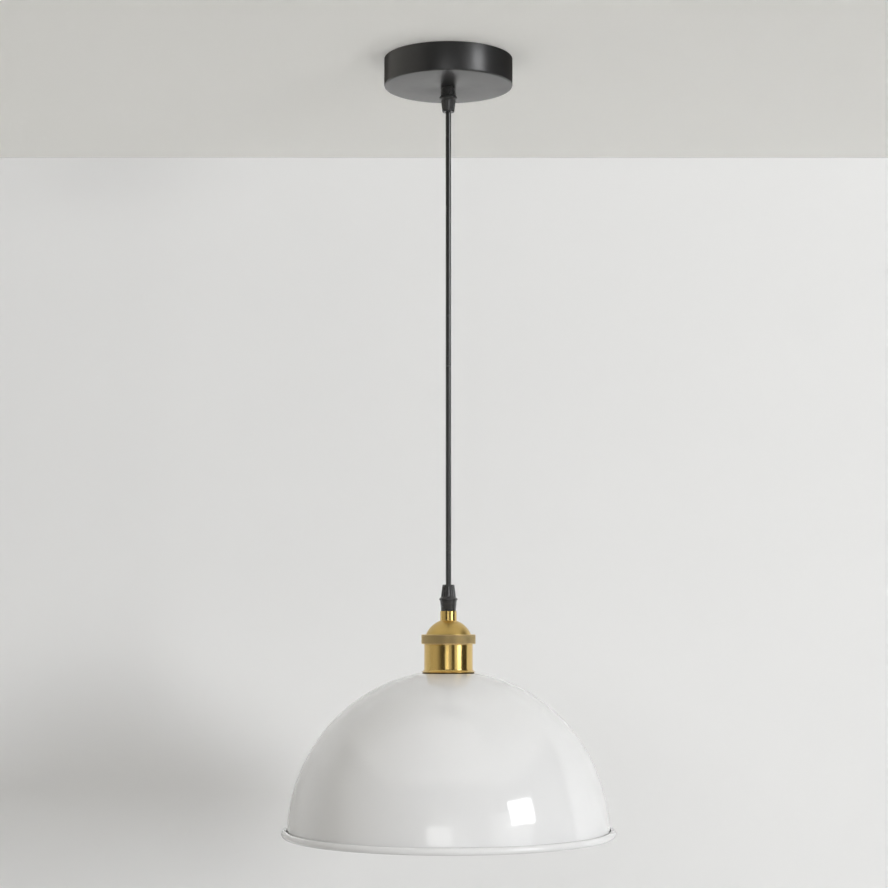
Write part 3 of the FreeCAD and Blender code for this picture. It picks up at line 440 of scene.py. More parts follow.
# %% Paint and enamel
def black_powder_coat():
    """Semi-gloss black paint baked on the steel cup."""
    material, wiring, shader = start_finish(
        "black_powder_coat", IOR=1.5, Coat_IOR=1.5, Coat_Roughness=0.26)
    grain = grouped(wiring, GRAIN, Scale=900.0)
    cloud = grouped(wiring, SMUDGE, Scale=28.0, Cover=0.5)
    rub = grouped(wiring, RUB, Scale=500.0, Amount=0.35)
    paint = mixed(wiring, grain["Mask"], (0.006, 0.006, 0.0065), (0.011, 0.011, 0.0115))
    wiring.feed(shader["Base Color"], mixed(wiring, rub["Mask"], paint, (0.06, 0.06, 0.06)))
    wiring.feed(shader["Roughness"], between(wiring, cloud["Mask"], 0.42, 0.48))
    wiring.feed(shader["Coat Weight"], between(wiring, cloud["Mask"], 0.7, 0.6))
    relief(wiring, shader, grain["Height"], 0.25, 0.02)
    return material


def white_enamel():
    """Glossy white enamel over spun steel, a little wavy as sprayed paint is."""
    material, wiring, shader = start_finish(
        "white_enamel", IOR=1.52, Coat_IOR=1.5, Coat_Roughness=0.03)
    grain = grouped(wiring, GRAIN, Scale=260.0)
    cloud = grouped(wiring, SMUDGE, Scale=14.0, Cover=0.45)
    rub = grouped(wiring, RUB, Scale=300.0, Amount=0.25)
    paint = mixed(wiring, grain["Mask"], (0.80, 0.80, 0.805), (0.825, 0.825, 0.83))
    wiring.feed(shader["Base Color"], mixed(wiring, rub["Mask"], paint, (0.62, 0.61, 0.58)))
    wiring.feed(shader["Roughness"], between(wiring, cloud["Mask"], 0.08, 0.13))
    wiring.feed(shader["Coat Weight"], between(wiring, cloud["Mask"], 0.5, 0.4))
    relief(wiring, shader, grain["Height"], 0.12, 0.03)
    return material


# %% Plastics and rubber
def moulded(name, dark, light, gloss, scale, depth, index=1.5, coat=0.0):
    """Moulded plastic with a fine spark-eroded texture, and a slick skin if coat says so."""
    material, wiring, shader = start_finish(name, IOR=index, Coat_Weight=coat, Coat_Roughness=gloss)
    grain = grouped(wiring, GRAIN, Scale=scale)
    cloud = grouped(wiring, SMUDGE, Scale=60.0, Cover=0.5)
    rub = grouped(wiring, RUB, Scale=900.0, Amount=0.4)
    body = mixed(wiring, grain["Mask"], dark, light)
    paler = tuple(min(1.0, 1.6 * value + 0.02) for value in light)
    wiring.feed(shader["Base Color"], mixed(wiring, rub["Mask"], body, paler))
    wiring.feed(shader["Roughness"], between(wiring, cloud["Mask"], gloss, gloss + 0.1))
    relief(wiring, shader, grain["Height"], 0.3, depth)
    return material


def striped_sheath():
    """Green insulation with a yellow stripe that winds along it, read from the tube's own map."""
    material, wiring, shader = start_finish("core_green_yellow", IOR=1.5, Roughness=0.3)
    place = wiring.node("ShaderNodeSeparateXYZ",
                        {0: wiring.tree.nodes.new("ShaderNodeTexCoord").outputs["UV"]}).outputs
    wave = wiring.math("SINE", wiring.math("MULTIPLY", place[0], 4.0 * math.pi))
    stripe = wiring.node("ShaderNodeMapRange", {"Value": wave, "From Min": 0.1, "From Max": 0.25})
    wiring.feed(shader["Base Color"],
                mixed(wiring, stripe.outputs[0], (0.05, 0.30, 0.04), (0.75, 0.62, 0.03)))
    return material


# %% Brass and other metals
def worked_metal(name, bright, dull, gloss, lines=2600.0, depth=0.006, cover=0.45, groove=None,
                 spread=0.0):
    """Metal with turning lines, dulled in patches; the groove colour paints shade into its hollows.
    Lines that run round a piece spread a reflection along the piece, as spread says."""
    material, wiring, shader = start_finish(
        name, Metallic=1.0, Anisotropic=spread, Anisotropic_Rotation=0.25)
    turning = grouped(wiring, TURNING, Scale=lines)
    cloud = grouped(wiring, SMUDGE, Scale=55.0, Cover=cover)
    rub = grouped(wiring, RUB, Scale=700.0, Amount=0.5)
    tone = mixed(wiring, wiring.math("MULTIPLY", cloud["Mask"], 0.6), bright, dull)
    # The groove colour paints shade into the hollows of threads, knurls and notches.
    if groove:
        low = wiring.node("ShaderNodeAttribute", attribute_name="groove").outputs["Fac"]
        tone = mixed(wiring, wiring.math("MULTIPLY", low, 0.92), tone, groove)
    paler = tuple(min(1.0, value * 1.1 + 0.03) for value in bright)
    wiring.feed(shader["Base Color"], mixed(wiring, rub["Mask"], tone, paler))
    wiring.feed(shader["Roughness"], between(
        wiring, wiring.math("MULTIPLY_ADD", turning["Mask"], 0.5, wiring.math(
            "MULTIPLY", cloud["Mask"], 0.5)), gloss, gloss + 0.1))
    relief(wiring, shader, turning["Height"], 0.35, depth)
    return material


BLACK_PAINT, ENAMEL = black_powder_coat(), white_enamel()
CABLE_PVC = moulded("cable_pvc", (0.004, 0.004, 0.004), (0.008, 0.008, 0.008), 0.22, 700.0, 0.01, 1.6,
                    0.5)
GRIP_NYLON = moulded("grip_nylon", (0.009, 0.009, 0.009), (0.016, 0.016, 0.017), 0.26, 1500.0, 0.02, 1.6,
                     0.3)
BLOCK_NYLON = moulded("block_nylon", (0.74, 0.72, 0.64), (0.82, 0.80, 0.72), 0.38, 900.0, 0.03)
BROWN_CORE = moulded("core_brown", (0.13, 0.045, 0.018), (0.18, 0.065, 0.025), 0.3, 700.0, 0.01)
BLUE_CORE = moulded("core_blue", (0.02, 0.09, 0.36), (0.03, 0.13, 0.45), 0.3, 700.0, 0.01)
STRIPED_CORE = striped_sheath()
# The groove colours given here paint shade into the hollows of each piece's cuts.
BRASS_POLISHED = worked_metal("brass_polished", (0.75, 0.53, 0.185), (0.63, 0.435, 0.145), 0.22,
                              depth=0.003, spread=0.85)
BRASS_SATIN = worked_metal("brass_satin", (0.66, 0.465, 0.155), (0.54, 0.37, 0.12), 0.32, spread=0.4)
BRASS_AGED = worked_metal("brass_aged", (0.80, 0.61, 0.30), (0.60, 0.45, 0.20), 0.15,
                          groove=(0.035, 0.022, 0.006))
# A near-black brass for the underside of the sleeve's lip: painted shade where the lip sits on the dome.
LIP_SHADE_BRASS = worked_metal("brass_tarnish", (0.09, 0.06, 0.02), (0.05, 0.035, 0.012), 0.5)
BRASS_PLAIN = worked_metal("brass_plain", (0.74, 0.56, 0.25), (0.60, 0.45, 0.20), 0.26,
                           groove=(0.40, 0.30, 0.13))
ZINC = worked_metal("zinc_plate", (0.62, 0.62, 0.58), (0.45, 0.45, 0.42), 0.3, lines=900.0,
                    groove=(0.25, 0.25, 0.24))
NICKEL = worked_metal("nickel_plate", (0.72, 0.70, 0.66), (0.58, 0.56, 0.52), 0.2,
                      groove=(0.42, 0.41, 0.39))
PORCELAIN = moulded("glazed_porcelain", (0.76, 0.75, 0.70), (0.82, 0.81, 0.77), 0.1, 240.0, 0.03)
# A near-black finish for the dome's crease: painted shade, along with the grime that gathers there.
CREASE_SHADE_AND_GRIME = moulded("crease_grime", (0.07, 0.068, 0.06), (0.13, 0.125, 0.115), 0.6, 300.0, 0.02)
BLACK_BEAD = moulded("black_bead", (0.012, 0.012, 0.016), (0.02, 0.02, 0.026), 0.08, 500.0, 0.01)


def opal_glass():
    """Milky glass: light scatters inside it, and the outside is smooth."""
    material, wiring, shader = start_finish(
        "opal_glass", IOR=1.5, Subsurface_Weight=0.6, Subsurface_Scale=0.003,
        Subsurface_Radius=(1.0, 0.95, 0.85), Coat_Weight=0.4, Coat_Roughness=0.03)
    grain = grouped(wiring, GRAIN, Scale=120.0)
    cloud = grouped(wiring, SMUDGE, Scale=30.0, Cover=0.4)
    wiring.feed(shader["Base Color"], mixed(wiring, grain["Mask"], (0.88, 0.88, 0.85), (0.92, 0.92, 0.9)))
    wiring.feed(shader["Roughness"], between(wiring, cloud["Mask"], 0.12, 0.2))
    relief(wiring, shader, grain["Height"], 0.05, 0.05)
    return material


OPAL = opal_glass()
print("finishes:", len(bpy.data.materials))


# %% [markdown]
# ## Softened copies
# Sheet and block parts that aren't round keep their true form, with the sharp edges taken off. A
# copy of the part's mesh is merged into whole faces, and a Bevel rounds its edges. The edge is what
# catches light on a small metal part.

# %% Softened copy of a part
def softened(name, node, material, width, limit=30.0):
    shape = bmesh.new()
    shape.from_mesh(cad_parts[node].data)
    bmesh.ops.remove_doubles(shape, verts=shape.verts, dist=2e-6)
    bmesh.ops.dissolve_limit(shape, angle_limit=math.radians(1.0), verts=shape.verts, edges=shape.edges)
    mesh = bpy.data.meshes.new(name)
    shape.to_mesh(mesh)
    shape.free()
    piece = bpy.data.objects.new(name, mesh)
    bpy.context.collection.objects.link(piece)
    bevel = piece.modifiers.new("bevel", "BEVEL")
    bevel.width = width * MM
    bevel.segments = 3
    bevel.limit_method = "ANGLE"
    bevel.angle_limit = math.radians(limit)
    bevel.use_clamp_overlap = True
    evaluated = piece.evaluated_get(bpy.context.evaluated_depsgraph_get())
    finished = bpy.data.meshes.new_from_object(evaluated)
    bpy.data.objects.remove(piece)
    mark_edges(finished)
    return new_piece(name, finished, material)


def fit(piece, body, slot, *nodes):
    """The piece stands for these parts and moves with the body. The slot is not used."""
    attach(piece, body)
    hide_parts(*nodes)
    return piece


# %% [markdown]
# ## Canopy cup
# A shallow cup pressed from 1.2 mm steel and powder-coated black. Its mouth is against the ceiling,
# its floor is flat, and the press leaves a small round where wall and floor meet. It is turned from
# an outline with that round.

# %% Canopy cup
CUP_WALL = 1.2
CUP_HOLE = 5.2
cup = turned("canopy_shell", eased([
    (CUP_RADIUS - CUP_WALL, CEILING, 0.3),
    (CUP_RADIUS, CEILING, 0.5),
    (CUP_RADIUS, CUP_FLOOR, 1.6),
    (CUP_HOLE, CUP_FLOOR, 0.3),
    (CUP_HOLE, CUP_FLOOR + CUP_WALL, 0.3),
    (CUP_RADIUS - CUP_WALL, CUP_FLOOR + CUP_WALL, 1.0)]), BLACK_PAINT, sides=256)
fit(cup, "canopy", "painted_black", "canopy_cup")
print("canopy cup:", len(cup.data.polygons), "faces")

# %% [markdown]
# ## Bracket and its fittings
# Inside the cup a bent strap carries everything. Seen from above, its edges, nuts and screws show.
# The strap, the lug and the terminals are softened copies. The nuts are hexagons whose corners are
# turned off, so each is where a hexagonal bar and a turned barrel overlap: a Boolean does it.

# %% Strap, lug and terminal block
fit(softened("strap", "mounting_bracket", ZINC, 0.35), "canopy", "zinc_steel", "mounting_bracket")
fit(softened("ring_lug", "earth_lug", ZINC, 0.12), "canopy", "zinc_steel", "earth_lug")
fit(softened("block_housing", "terminal_block", BLOCK_NYLON, 0.4), "canopy", "terminal_plastic",
    "terminal_block")
fit(softened("block_tubes", "terminal_inserts", BRASS_PLAIN, 0.08), "canopy", "brass_plain",
    "terminal_inserts")


# %% Booleans, hexagon nuts and slotted screws
def combined(piece, tool, operation, material, sharp=32.0):
    """The piece cut by the tool, or the overlap of both; the tool is used up."""
    modifier = piece.modifiers.new("combine", "BOOLEAN")
    modifier.object = tool
    modifier.operation = operation
    modifier.solver = "EXACT"
    evaluated = piece.evaluated_get(bpy.context.evaluated_depsgraph_get())
    mesh = bpy.data.meshes.new_from_object(evaluated)
    name = piece.name
    for used in (piece, tool):
        bpy.data.objects.remove(used)
    for old in ("edge", "groove"):
        if old in mesh.attributes:
            mesh.attributes.remove(mesh.attributes[old])
    mark_edges(mesh)
    return new_piece(name, mesh, material, sharp)


def bar(name, width, depth, height, low, material, turn=0.0):
    """A rectangular bar about the axis, its corners turned by an angle in degrees."""
    shape = bmesh.new()
    bmesh.ops.create_cube(shape, size=1.0)
    for point in shape.verts:
        x, y = point.co.x * width * MM, point.co.y * depth * MM
        a = math.radians(turn)
        point.co = (x * math.cos(a) - y * math.sin(a), x * math.sin(a) + y * math.cos(a),
                    (low + (point.co.z + 0.5) * height) * MM)
    mesh = bpy.data.meshes.new(name)
    shape.to_mesh(mesh)
    shape.free()
    return new_piece(name, mesh, material)


def hexagon_nut(name, corner_radius, height, bore, material):
    """Nut standing on the local floor: a hexagon whose bore and turned-off corners come from a turned
    barrel.
    """
    flats = corner_radius * math.cos(math.radians(30.0))
    blank = turned(name, [(0.0, 0.0), (corner_radius, 0.0), (corner_radius, height), (0.0, height)],
                   material, sides=6)
    barrel = turned(name + "_barrel", eased([
        (bore, 0.0, 0.3), (flats, 0.0), (corner_radius, 0.5), (corner_radius, height - 0.5),
        (flats, height), (bore, height, 0.3)]), material, sides=96)
    return combined(blank, barrel, "INTERSECT", material)


def slotted_screw(name, head_radius, head_height, shank_radius, length, slot_width, material):
    """Cheese-head screw whose head stands on the local floor, with one driver slot."""
    screw = turned(name, eased([
        (0.0, head_height), (0.0, -length), (shank_radius, -length, 0.3), (shank_radius, 0.0),
        (head_radius, 0.0, 0.1), (head_radius, head_height, 0.35 * head_height)]), material, sides=48)
    slot = bar(name + "_slot", 3.0 * head_radius, slot_width, head_height, 0.5 * head_height, material, 25.0)
    return combined(screw, slot, "DIFFERENCE", material)


# %% [markdown]
# The same nut or screw sits in several places. Geometry Nodes puts a copy on each point of a small
# list of places, then makes the copies real.

# %% The tree that sets out copies
def set_out_tree():
    wiring = Wiring("set_out_copies", "GeometryNodeTree",
                    [("Geometry", "Geometry"), ("Piece", "Object"), ("Turn", "Float", 0.0),
                     ("Finish", "Material")], [("Geometry", "Geometry")])
    source = wiring.node("GeometryNodeObjectInfo", {"Object": wiring.given["Piece"]})
    number = wiring.tree.nodes.new("GeometryNodeInputIndex").outputs[0]
    angle = wiring.math("MULTIPLY", number, wiring.given["Turn"])
    rotation = wiring.node("ShaderNodeCombineXYZ", {2: angle})
    spots = wiring.node("GeometryNodeMeshToPoints", {"Mesh": wiring.given["Geometry"]})
    copies = wiring.node("GeometryNodeInstanceOnPoints", {
        "Points": spots.outputs[0], "Instance": source.outputs["Geometry"],
        "Rotation": rotation.outputs[0]})
    real = wiring.node("GeometryNodeRealizeInstances", {"Geometry": copies.outputs[0]})
    done = wiring.node("GeometryNodeSetMaterial",
                       {"Geometry": real.outputs[0], "Material": wiring.given["Finish"]})
    wiring.feed(wiring.result["Geometry"], done.outputs[0])
    return wiring.tree


SET_OUT = set_out_tree()


def set_out(name, piece, places, turn, material):
    """Copies of the piece at the places, in millimetres, each turned a little further."""
    mesh = bpy.data.meshes.new(name)
    mesh.from_pydata([Vector(place) * MM for place in places], [], [])
    spots = bpy.data.objects.new(name, mesh)
    bpy.context.collection.objects.link(spots)
    grown(spots, SET_OUT, {"Piece": piece, "Turn": float(turn), "Finish": material})
    bpy.data.objects.remove(piece)
    return spots


# %% Nuts, washer, nipple and screws in the canopy
NUT_CORNER, NUT_HEIGHT, NUT_TURN = 8.08, 3.0, 0.35
NIPPLE_RADIUS, NIPPLE_BORE, NIPPLE_HOLE = 5.0, 3.5, 5.03
NIPPLE_PITCH, NIPPLE_THREAD = 1.0, 0.45
WASHER_BORE = 5.1
nut_low, nut_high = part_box("lock_nuts")[0][2] / MM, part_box("lock_nuts")[1][2] / MM
bridge_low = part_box("mounting_bracket")[0][2] / MM
nut = hexagon_nut("nut", NUT_CORNER, NUT_HEIGHT, NIPPLE_HOLE, ZINC)
nuts = set_out("hexagon_nuts", nut, [(0, 0, nut_low), (0, 0, bridge_low - NUT_HEIGHT),
                                     (0, 0, nut_high - NUT_HEIGHT)], NUT_TURN, ZINC)
fit(nuts, "canopy", "zinc_steel", "lock_nuts")
washer_radius, washer_low, washer_high = reach("canopy_washer")
fit(turned("floor_washer", eased([
    (WASHER_BORE, washer_low, 0.1), (washer_radius, washer_low, 0.15),
    (washer_radius, washer_high, 0.15), (WASHER_BORE, washer_high, 0.1)]), ZINC),
    "canopy", "zinc_steel", "canopy_washer")


def nipple(name, node, body):
    """Hollow threaded tube, M10 with a pitch of 1 mm."""
    _, low, high = reach(node)
    outline = finer(eased([(NIPPLE_BORE, low, 0.2), (NIPPLE_RADIUS, low, 0.6),
                           (NIPPLE_RADIUS, high, 0.6), (NIPPLE_BORE, high, 0.2)]), 0.12, least=4.9)
    tube = turned(name, outline, ZINC, sides=64)
    rolled(tube, ZINC, low, high, NIPPLE_THREAD, around=-1.0, pitch=NIPPLE_PITCH, least=4.2, fade=0.3)
    fit(tube, body, "zinc_steel", node)


nipple("canopy_nipple", "upper_nipple", "canopy")
nipple("holder_nipple", "lower_nipple", "lampholder")


def middle_of(node):
    low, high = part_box(node)
    return [(a + b) / 2.0 / MM for a, b in zip(low, high)]


# Each screw is given as head radius, head height, shank radius, length and slot width.
EARTH_SCREW, FIXING_SCREW = (3.5, 2.4, 1.95, 6.0, 0.9), (2.7, 2.0, 1.5, 11.0, 0.7)
POLE_PITCH, POLE_SCREW, POLE_TURN = 10.0, (1.7, 2.3, 1.1, 1.9, 0.5), 0.7
lug_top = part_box("earth_lug")[1][2] / MM
earth_x, earth_y, _ = middle_of("earth_screw")
earth = slotted_screw("earth_blank", *EARTH_SCREW, BRASS_PLAIN)
fit(set_out("earth_screw_slotted", earth, [(earth_x, earth_y, lug_top)], 0.0, BRASS_PLAIN),
    "canopy", "brass_plain", "earth_screw")
fixing_x, fixing_y, _ = middle_of("block_fixing_screw")
fixing_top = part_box("block_fixing_screw")[1][2] / MM
fixing = slotted_screw("fixing_blank", *FIXING_SCREW, ZINC)
fixing_places = [(fixing_x, fixing_y, fixing_top - FIXING_SCREW[1])]
fit(set_out("block_screw", fixing, fixing_places, 0.0, ZINC),
    "canopy", "zinc_steel", "block_fixing_screw")
screw_low, screw_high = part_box("terminal_screws")
pole_x = (screw_low[0] / MM + POLE_SCREW[0], screw_high[0] / MM - POLE_SCREW[0])
pole_floor = screw_high[2] / MM - POLE_SCREW[1]
clamp = slotted_screw("clamp_blank", *POLE_SCREW, ZINC)
places = [(x, y, pole_floor) for x in pole_x for y in (-POLE_PITCH, 0, POLE_PITCH)]
fit(set_out("pole_screws", clamp, places, POLE_TURN, ZINC), "canopy", "zinc_steel", "terminal_screws")
print("canopy fittings done")

# %% [markdown]
# ## Cable
# A round black three-core cable with a PVC sheath. The light's weight keeps it straight, so its
# route is a line from the cup to the holder. Each stretch is a tube about points that are read from
# a smooth spline. The real cable bends at two joints when the light swings. It is made in two
# pieces that meet half way between them, so each piece crosses one joint.

# %% A tube along a route
def route_points(name, route, resolution):
    """Points read from the smooth spline whose control points are the route, in metres."""
    curve = bpy.data.curves.new(name, "CURVE")
    curve.dimensions = "3D"
    spline = curve.splines.new("NURBS")
    spline.points.add(len(route) - 1)
    for point, place in zip(spline.points, route):
        point.co = (*[value * MM for value in place], 1.0)
    spline.order_u = 3
    spline.use_endpoint_u = True
    spline.resolution_u = resolution
    holder = bpy.data.objects.new(name, curve)
    bpy.context.collection.objects.link(holder)
    evaluated = holder.evaluated_get(bpy.context.evaluated_depsgraph_get())
    mesh = bpy.data.meshes.new_from_object(evaluated)
    points = [point.co.copy() for point in mesh.vertices]
    bpy.data.objects.remove(holder)
    return points


def tube(name, points, radius, material, sides=24):
    """A closed tube about the points, with a map that runs round it and along it."""
    shape = bmesh.new()
    uv = shape.loops.layers.uv.new("along")
    side_way = Vector((1.0, 0.0, 0.0))
    rings, gone = [], 0.0
    lengths = []
    for index, here in enumerate(points):
        along = (points[min(index + 1, len(points) - 1)] - points[max(index - 1, 0)]).normalized()
        side_way = (side_way - along * side_way.dot(along)).normalized()
        other_way = along.cross(side_way)
        gone += (here - points[index - 1]).length if index else 0.0
        lengths.append(gone)
        rings.append([shape.verts.new(here + radius * MM * (
            math.cos(2 * math.pi * side / sides) * side_way
            + math.sin(2 * math.pi * side / sides) * other_way)) for side in range(sides)])
    for index in range(len(rings) - 1):
        for side in range(sides):
            far = (side + 1) % sides
            face = shape.faces.new([rings[index][side], rings[index][far],
                                    rings[index + 1][far], rings[index + 1][side]])
            round_to = (side, side + 1, side + 1, side)
            along_to = (index, index, index + 1, index + 1)
            for loop, a, b in zip(face.loops, round_to, along_to):
                loop[uv].uv = (a / sides, lengths[b] / (2.0 * math.pi * radius * MM))
    shape.faces.new(list(reversed(rings[0])))
    shape.faces.new(rings[-1])
    mesh = bpy.data.meshes.new(name)
    shape.to_mesh(mesh)
    shape.free()
    return new_piece(name, mesh, material, 50.0)


# %% The cable's two pieces
CABLE_RADIUS, CABLE_MIDDLE = 2.5, -300.0
cable_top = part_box("cable_stub")[1][2] / MM
cable_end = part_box("flex_cable")[0][2] / MM
bend_low, bend_high = (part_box("cable_bend")[side][2] / MM for side in (0, 1))
first_bend, second_bend = bend_high - CABLE_RADIUS, bend_low + CABLE_RADIUS
half_way = (first_bend + second_bend) / 2.0
half_bend = half_way - second_bend

upper_route = [(0, 0, cable_top), (0, 0, first_bend + half_bend), (0, 0, half_way)]
upper_points = route_points("upper_route", upper_route, 48)
upper_cable = tube("cable_upper", upper_points, CABLE_RADIUS, CABLE_PVC)
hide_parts("cable_stub", "cable_bend")
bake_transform(upper_cable)

lower_route = [(0, 0, half_way), (0, 0, second_bend - half_bend), (0, 0, CABLE_MIDDLE),
               (0, 0, cable_end)]
lower_points = route_points("lower_route", lower_route, 64)
lower_cable = tube("cable_lower", lower_points, CABLE_RADIUS, CABLE_PVC)
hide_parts("flex_cable")
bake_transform(lower_cable)

# %% [markdown]
# ## Cores of the cable
# Where the sheath is cut back, three thin insulated wires fan out: brown, blue, and green with a
# yellow stripe. Each is a tube along a smooth spline through the same places as the part.

# %% Cores in the canopy and in the holder
CORE_RADIUS, CORE_RING = 0.95, 1.15
CREST_RISE, BLOCK_APPROACH, BLOCK_ENTRY, POLE_RISE = 3.8, 3.5, 5.0, 2.0
EARTH_TURN, EARTH_BEND, EARTH_END, EARTH_DROP = -9.6, -11.8, -15.2, 4.2
CORE_FINISH = {"live": (BROWN_CORE, "core_brown"), "neutral": (BLUE_CORE, "core_blue"),
               "earth": (STRIPED_CORE, "core_green")}


def round_axis(radius, degrees, height):
    angle = math.radians(degrees)
    return (radius * math.cos(angle), radius * math.sin(angle), height)


def core(name, node, body, route, kind):
    finish, slot = CORE_FINISH[kind]
    piece = tube(name, route_points(name, route, 12), CORE_RADIUS, finish, sides=16)
    fit(piece, body, slot, node)


pole_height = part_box("terminal_inserts")[0][2] / MM + POLE_RISE
block_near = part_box("terminal_block")[0][0] / MM
crest = cable_top + CREST_RISE
lug_height = lug_top + CORE_RADIUS + 0.05
for kind, angle, side in (("live", 60.0, 1.0), ("neutral", -60.0, -1.0)):
    core("canopy_wire_" + kind, "canopy_core_" + kind, "canopy", [
        round_axis(CORE_RING, angle, cable_top), round_axis(CORE_RING, angle, crest),
        (block_near - BLOCK_APPROACH, side * POLE_PITCH, pole_height),
        (block_near + BLOCK_ENTRY, side * POLE_PITCH, pole_height)], kind)
core("canopy_wire_earth", "canopy_core_earth", "canopy", [
    round_axis(CORE_RING, 180.0, cable_top), round_axis(CORE_RING, 180.0, crest),
    (EARTH_TURN, 0, crest - EARTH_DROP), (EARTH_BEND, 0, lug_height),
    (EARTH_END, 0, lug_height)], "earth")
CLAMP_REACH, CLAMP_HALF, CORE_DROP = 11.5, 2.5, 4.0
clamp_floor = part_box("holder_terminals")[0][2] / MM
core_start = cable_end - 0.3
for index, kind in enumerate(("live", "neutral", "earth")):
    angle = 90.0 + 120.0 * index
    core("holder_wire_" + kind, "holder_core_" + kind, "lampholder", [
        round_axis(CORE_RING, angle, core_start), round_axis(CORE_RING, angle, core_start - CORE_DROP),
        round_axis(CLAMP_REACH / 2.0, angle, clamp_floor + CLAMP_HALF),
        round_axis(CLAMP_REACH - 1.0, angle, clamp_floor + CLAMP_HALF)], kind)

# %% [markdown]
# ## Cord grips
# A moulded nylon grip holds the cable at each end. Its body has fine rings, so fingers can turn it,
# and its cone has flutes. The two grips are the same part: one hangs upside down under the cup, and
# the other stands on the holder.

# %% Cord grips
GRIP_BASE, GRIP_WAIST, GRIP_FLANGE, GRIP_SHOULDER, GRIP_MOUTH = 6.8, 7.75, 8.35, 6.95, 5.5
GRIP_BODY_TOP, GRIP_FLANGE_TOP, GRIP_CONE_FOOT, GRIP_HEIGHT = 9.9, 11.3, 12.6, 24.1
CABLE_ROOM, GRIP_FLOOR = 2.8, 7.5
GRIP_SOCKET, GRIP_SOCKET_TOP, NUT_BORE, NUT_CONE_FOOT = 5.4, 16.0, 5.43, 16.6
NUT_THROAT, NUT_CONE_TOP = 3.4, 21.6
CLAW_BORE, CLAW_FOOT, CLAW_TOP, CLAW_WIDE, CLAW_NARROW = 2.56, 16.05, 21.0, 4.4, 3.2
GRIP_RINGS, GRIP_RING_DEPTH, GRIP_FLUTES, GRIP_FLUTE_DEPTH = 1.25, 0.28, 18, 0.4


def cord_grip(prefix, body, base, flip):
    """Body, nut and collet, drawn upwards from the grip's base."""
    def band(a, b):
        return sorted((base + flip * a, base + flip * b))

    outline = finer(eased([
        (NIPPLE_HOLE, 0.0), (GRIP_BASE, 0.0, 0.3), (GRIP_WAIST, GRIP_BODY_TOP, 0.25),
        (GRIP_SOCKET, GRIP_BODY_TOP), (GRIP_SOCKET, GRIP_SOCKET_TOP), (CABLE_ROOM, GRIP_SOCKET_TOP),
        (CABLE_ROOM, GRIP_FLOOR), (NIPPLE_HOLE, GRIP_FLOOR)]), 0.16, least=6.0,
        low=-1.0, high=GRIP_BODY_TOP + 0.1)
    stem = turned(prefix + "_grip_barrel", outline, GRIP_NYLON, sides=96, drop=base, flip=flip)
    low, high = band(0.6, GRIP_BODY_TOP - 0.5)
    rolled(stem, GRIP_NYLON, low, high, GRIP_RING_DEPTH, pitch=GRIP_RINGS, least=6.2, fade=0.4,
           sharpness=1.4)
    fit(stem, body, "grip_plastic", prefix + "_grip_body")
    outline = finer(eased([
        (NUT_BORE, GRIP_BODY_TOP), (GRIP_FLANGE, GRIP_BODY_TOP, 0.25),
        (GRIP_FLANGE, GRIP_FLANGE_TOP, 0.3), (GRIP_SHOULDER, GRIP_CONE_FOOT, 0.5),
        (GRIP_MOUTH, GRIP_HEIGHT, 0.9), (CABLE_ROOM, GRIP_HEIGHT, 0.3), (CABLE_ROOM, NUT_CONE_TOP),
        (NUT_THROAT, NUT_CONE_TOP), (NUT_BORE, NUT_CONE_FOOT)]), 0.35, least=4.5, low=11.0, high=24.2)
    cone = turned(prefix + "_grip_cone", outline, GRIP_NYLON, sides=GRIP_FLUTES * 10, drop=base, flip=flip)
    low, high = band(GRIP_CONE_FOOT - 0.2, GRIP_HEIGHT - 0.8)
    rolled(cone, GRIP_NYLON, low, high, GRIP_FLUTE_DEPTH, around=GRIP_FLUTES, least=4.6, fade=1.2,
           sharpness=0.8)
    fit(cone, body, "grip_plastic", prefix + "_grip_nut")
    claw = turned(prefix + "_grip_claw", eased([
        (CLAW_BORE, CLAW_FOOT), (CLAW_WIDE, CLAW_FOOT, 0.3), (CLAW_NARROW, CLAW_TOP, 0.3),
        (CLAW_BORE, CLAW_TOP)]), GRIP_NYLON, sides=64, drop=base, flip=flip)
    fit(claw, body, "grip_plastic", prefix + "_grip_collet")


cord_grip("upper", "canopy", CUP_FLOOR, -1.0)
cord_grip("lower", "lampholder", HOLDER_TOP, 1.0)
print("grips done")

# %% [markdown]
# ## Lampholder
# The holder's outside is three pieces of brass. The cap is spun: a short polished neck over a satin
# dome. The ring is turned and knurled with a crossed roller. The sleeve is drawn and polished, with
# a hollow flare at its foot. The narrow underside of the flare takes a near-black brass: painted
# shade where the lip sits on the dome. Polished brass shows its form only by what it reflects, so the
# bands of light and dark on the sleeve come from the lights, not from its colour.

# %% Cap
NECK_RADIUS, NECK_HEIGHT, BRASS_WALL = 7.5, 8.7, 1.0
DOME_RADIUS, DOME_CENTRE, DOME_FOOT = 22.2, -29.7, 8.3
SKIRT_RADIUS = reach("holder_cap")[0]
SKIRT_FOOT = reach("holder_cap")[1] - HOLDER_TOP


def lean(across, radius):
    return math.degrees(math.acos(across / radius))


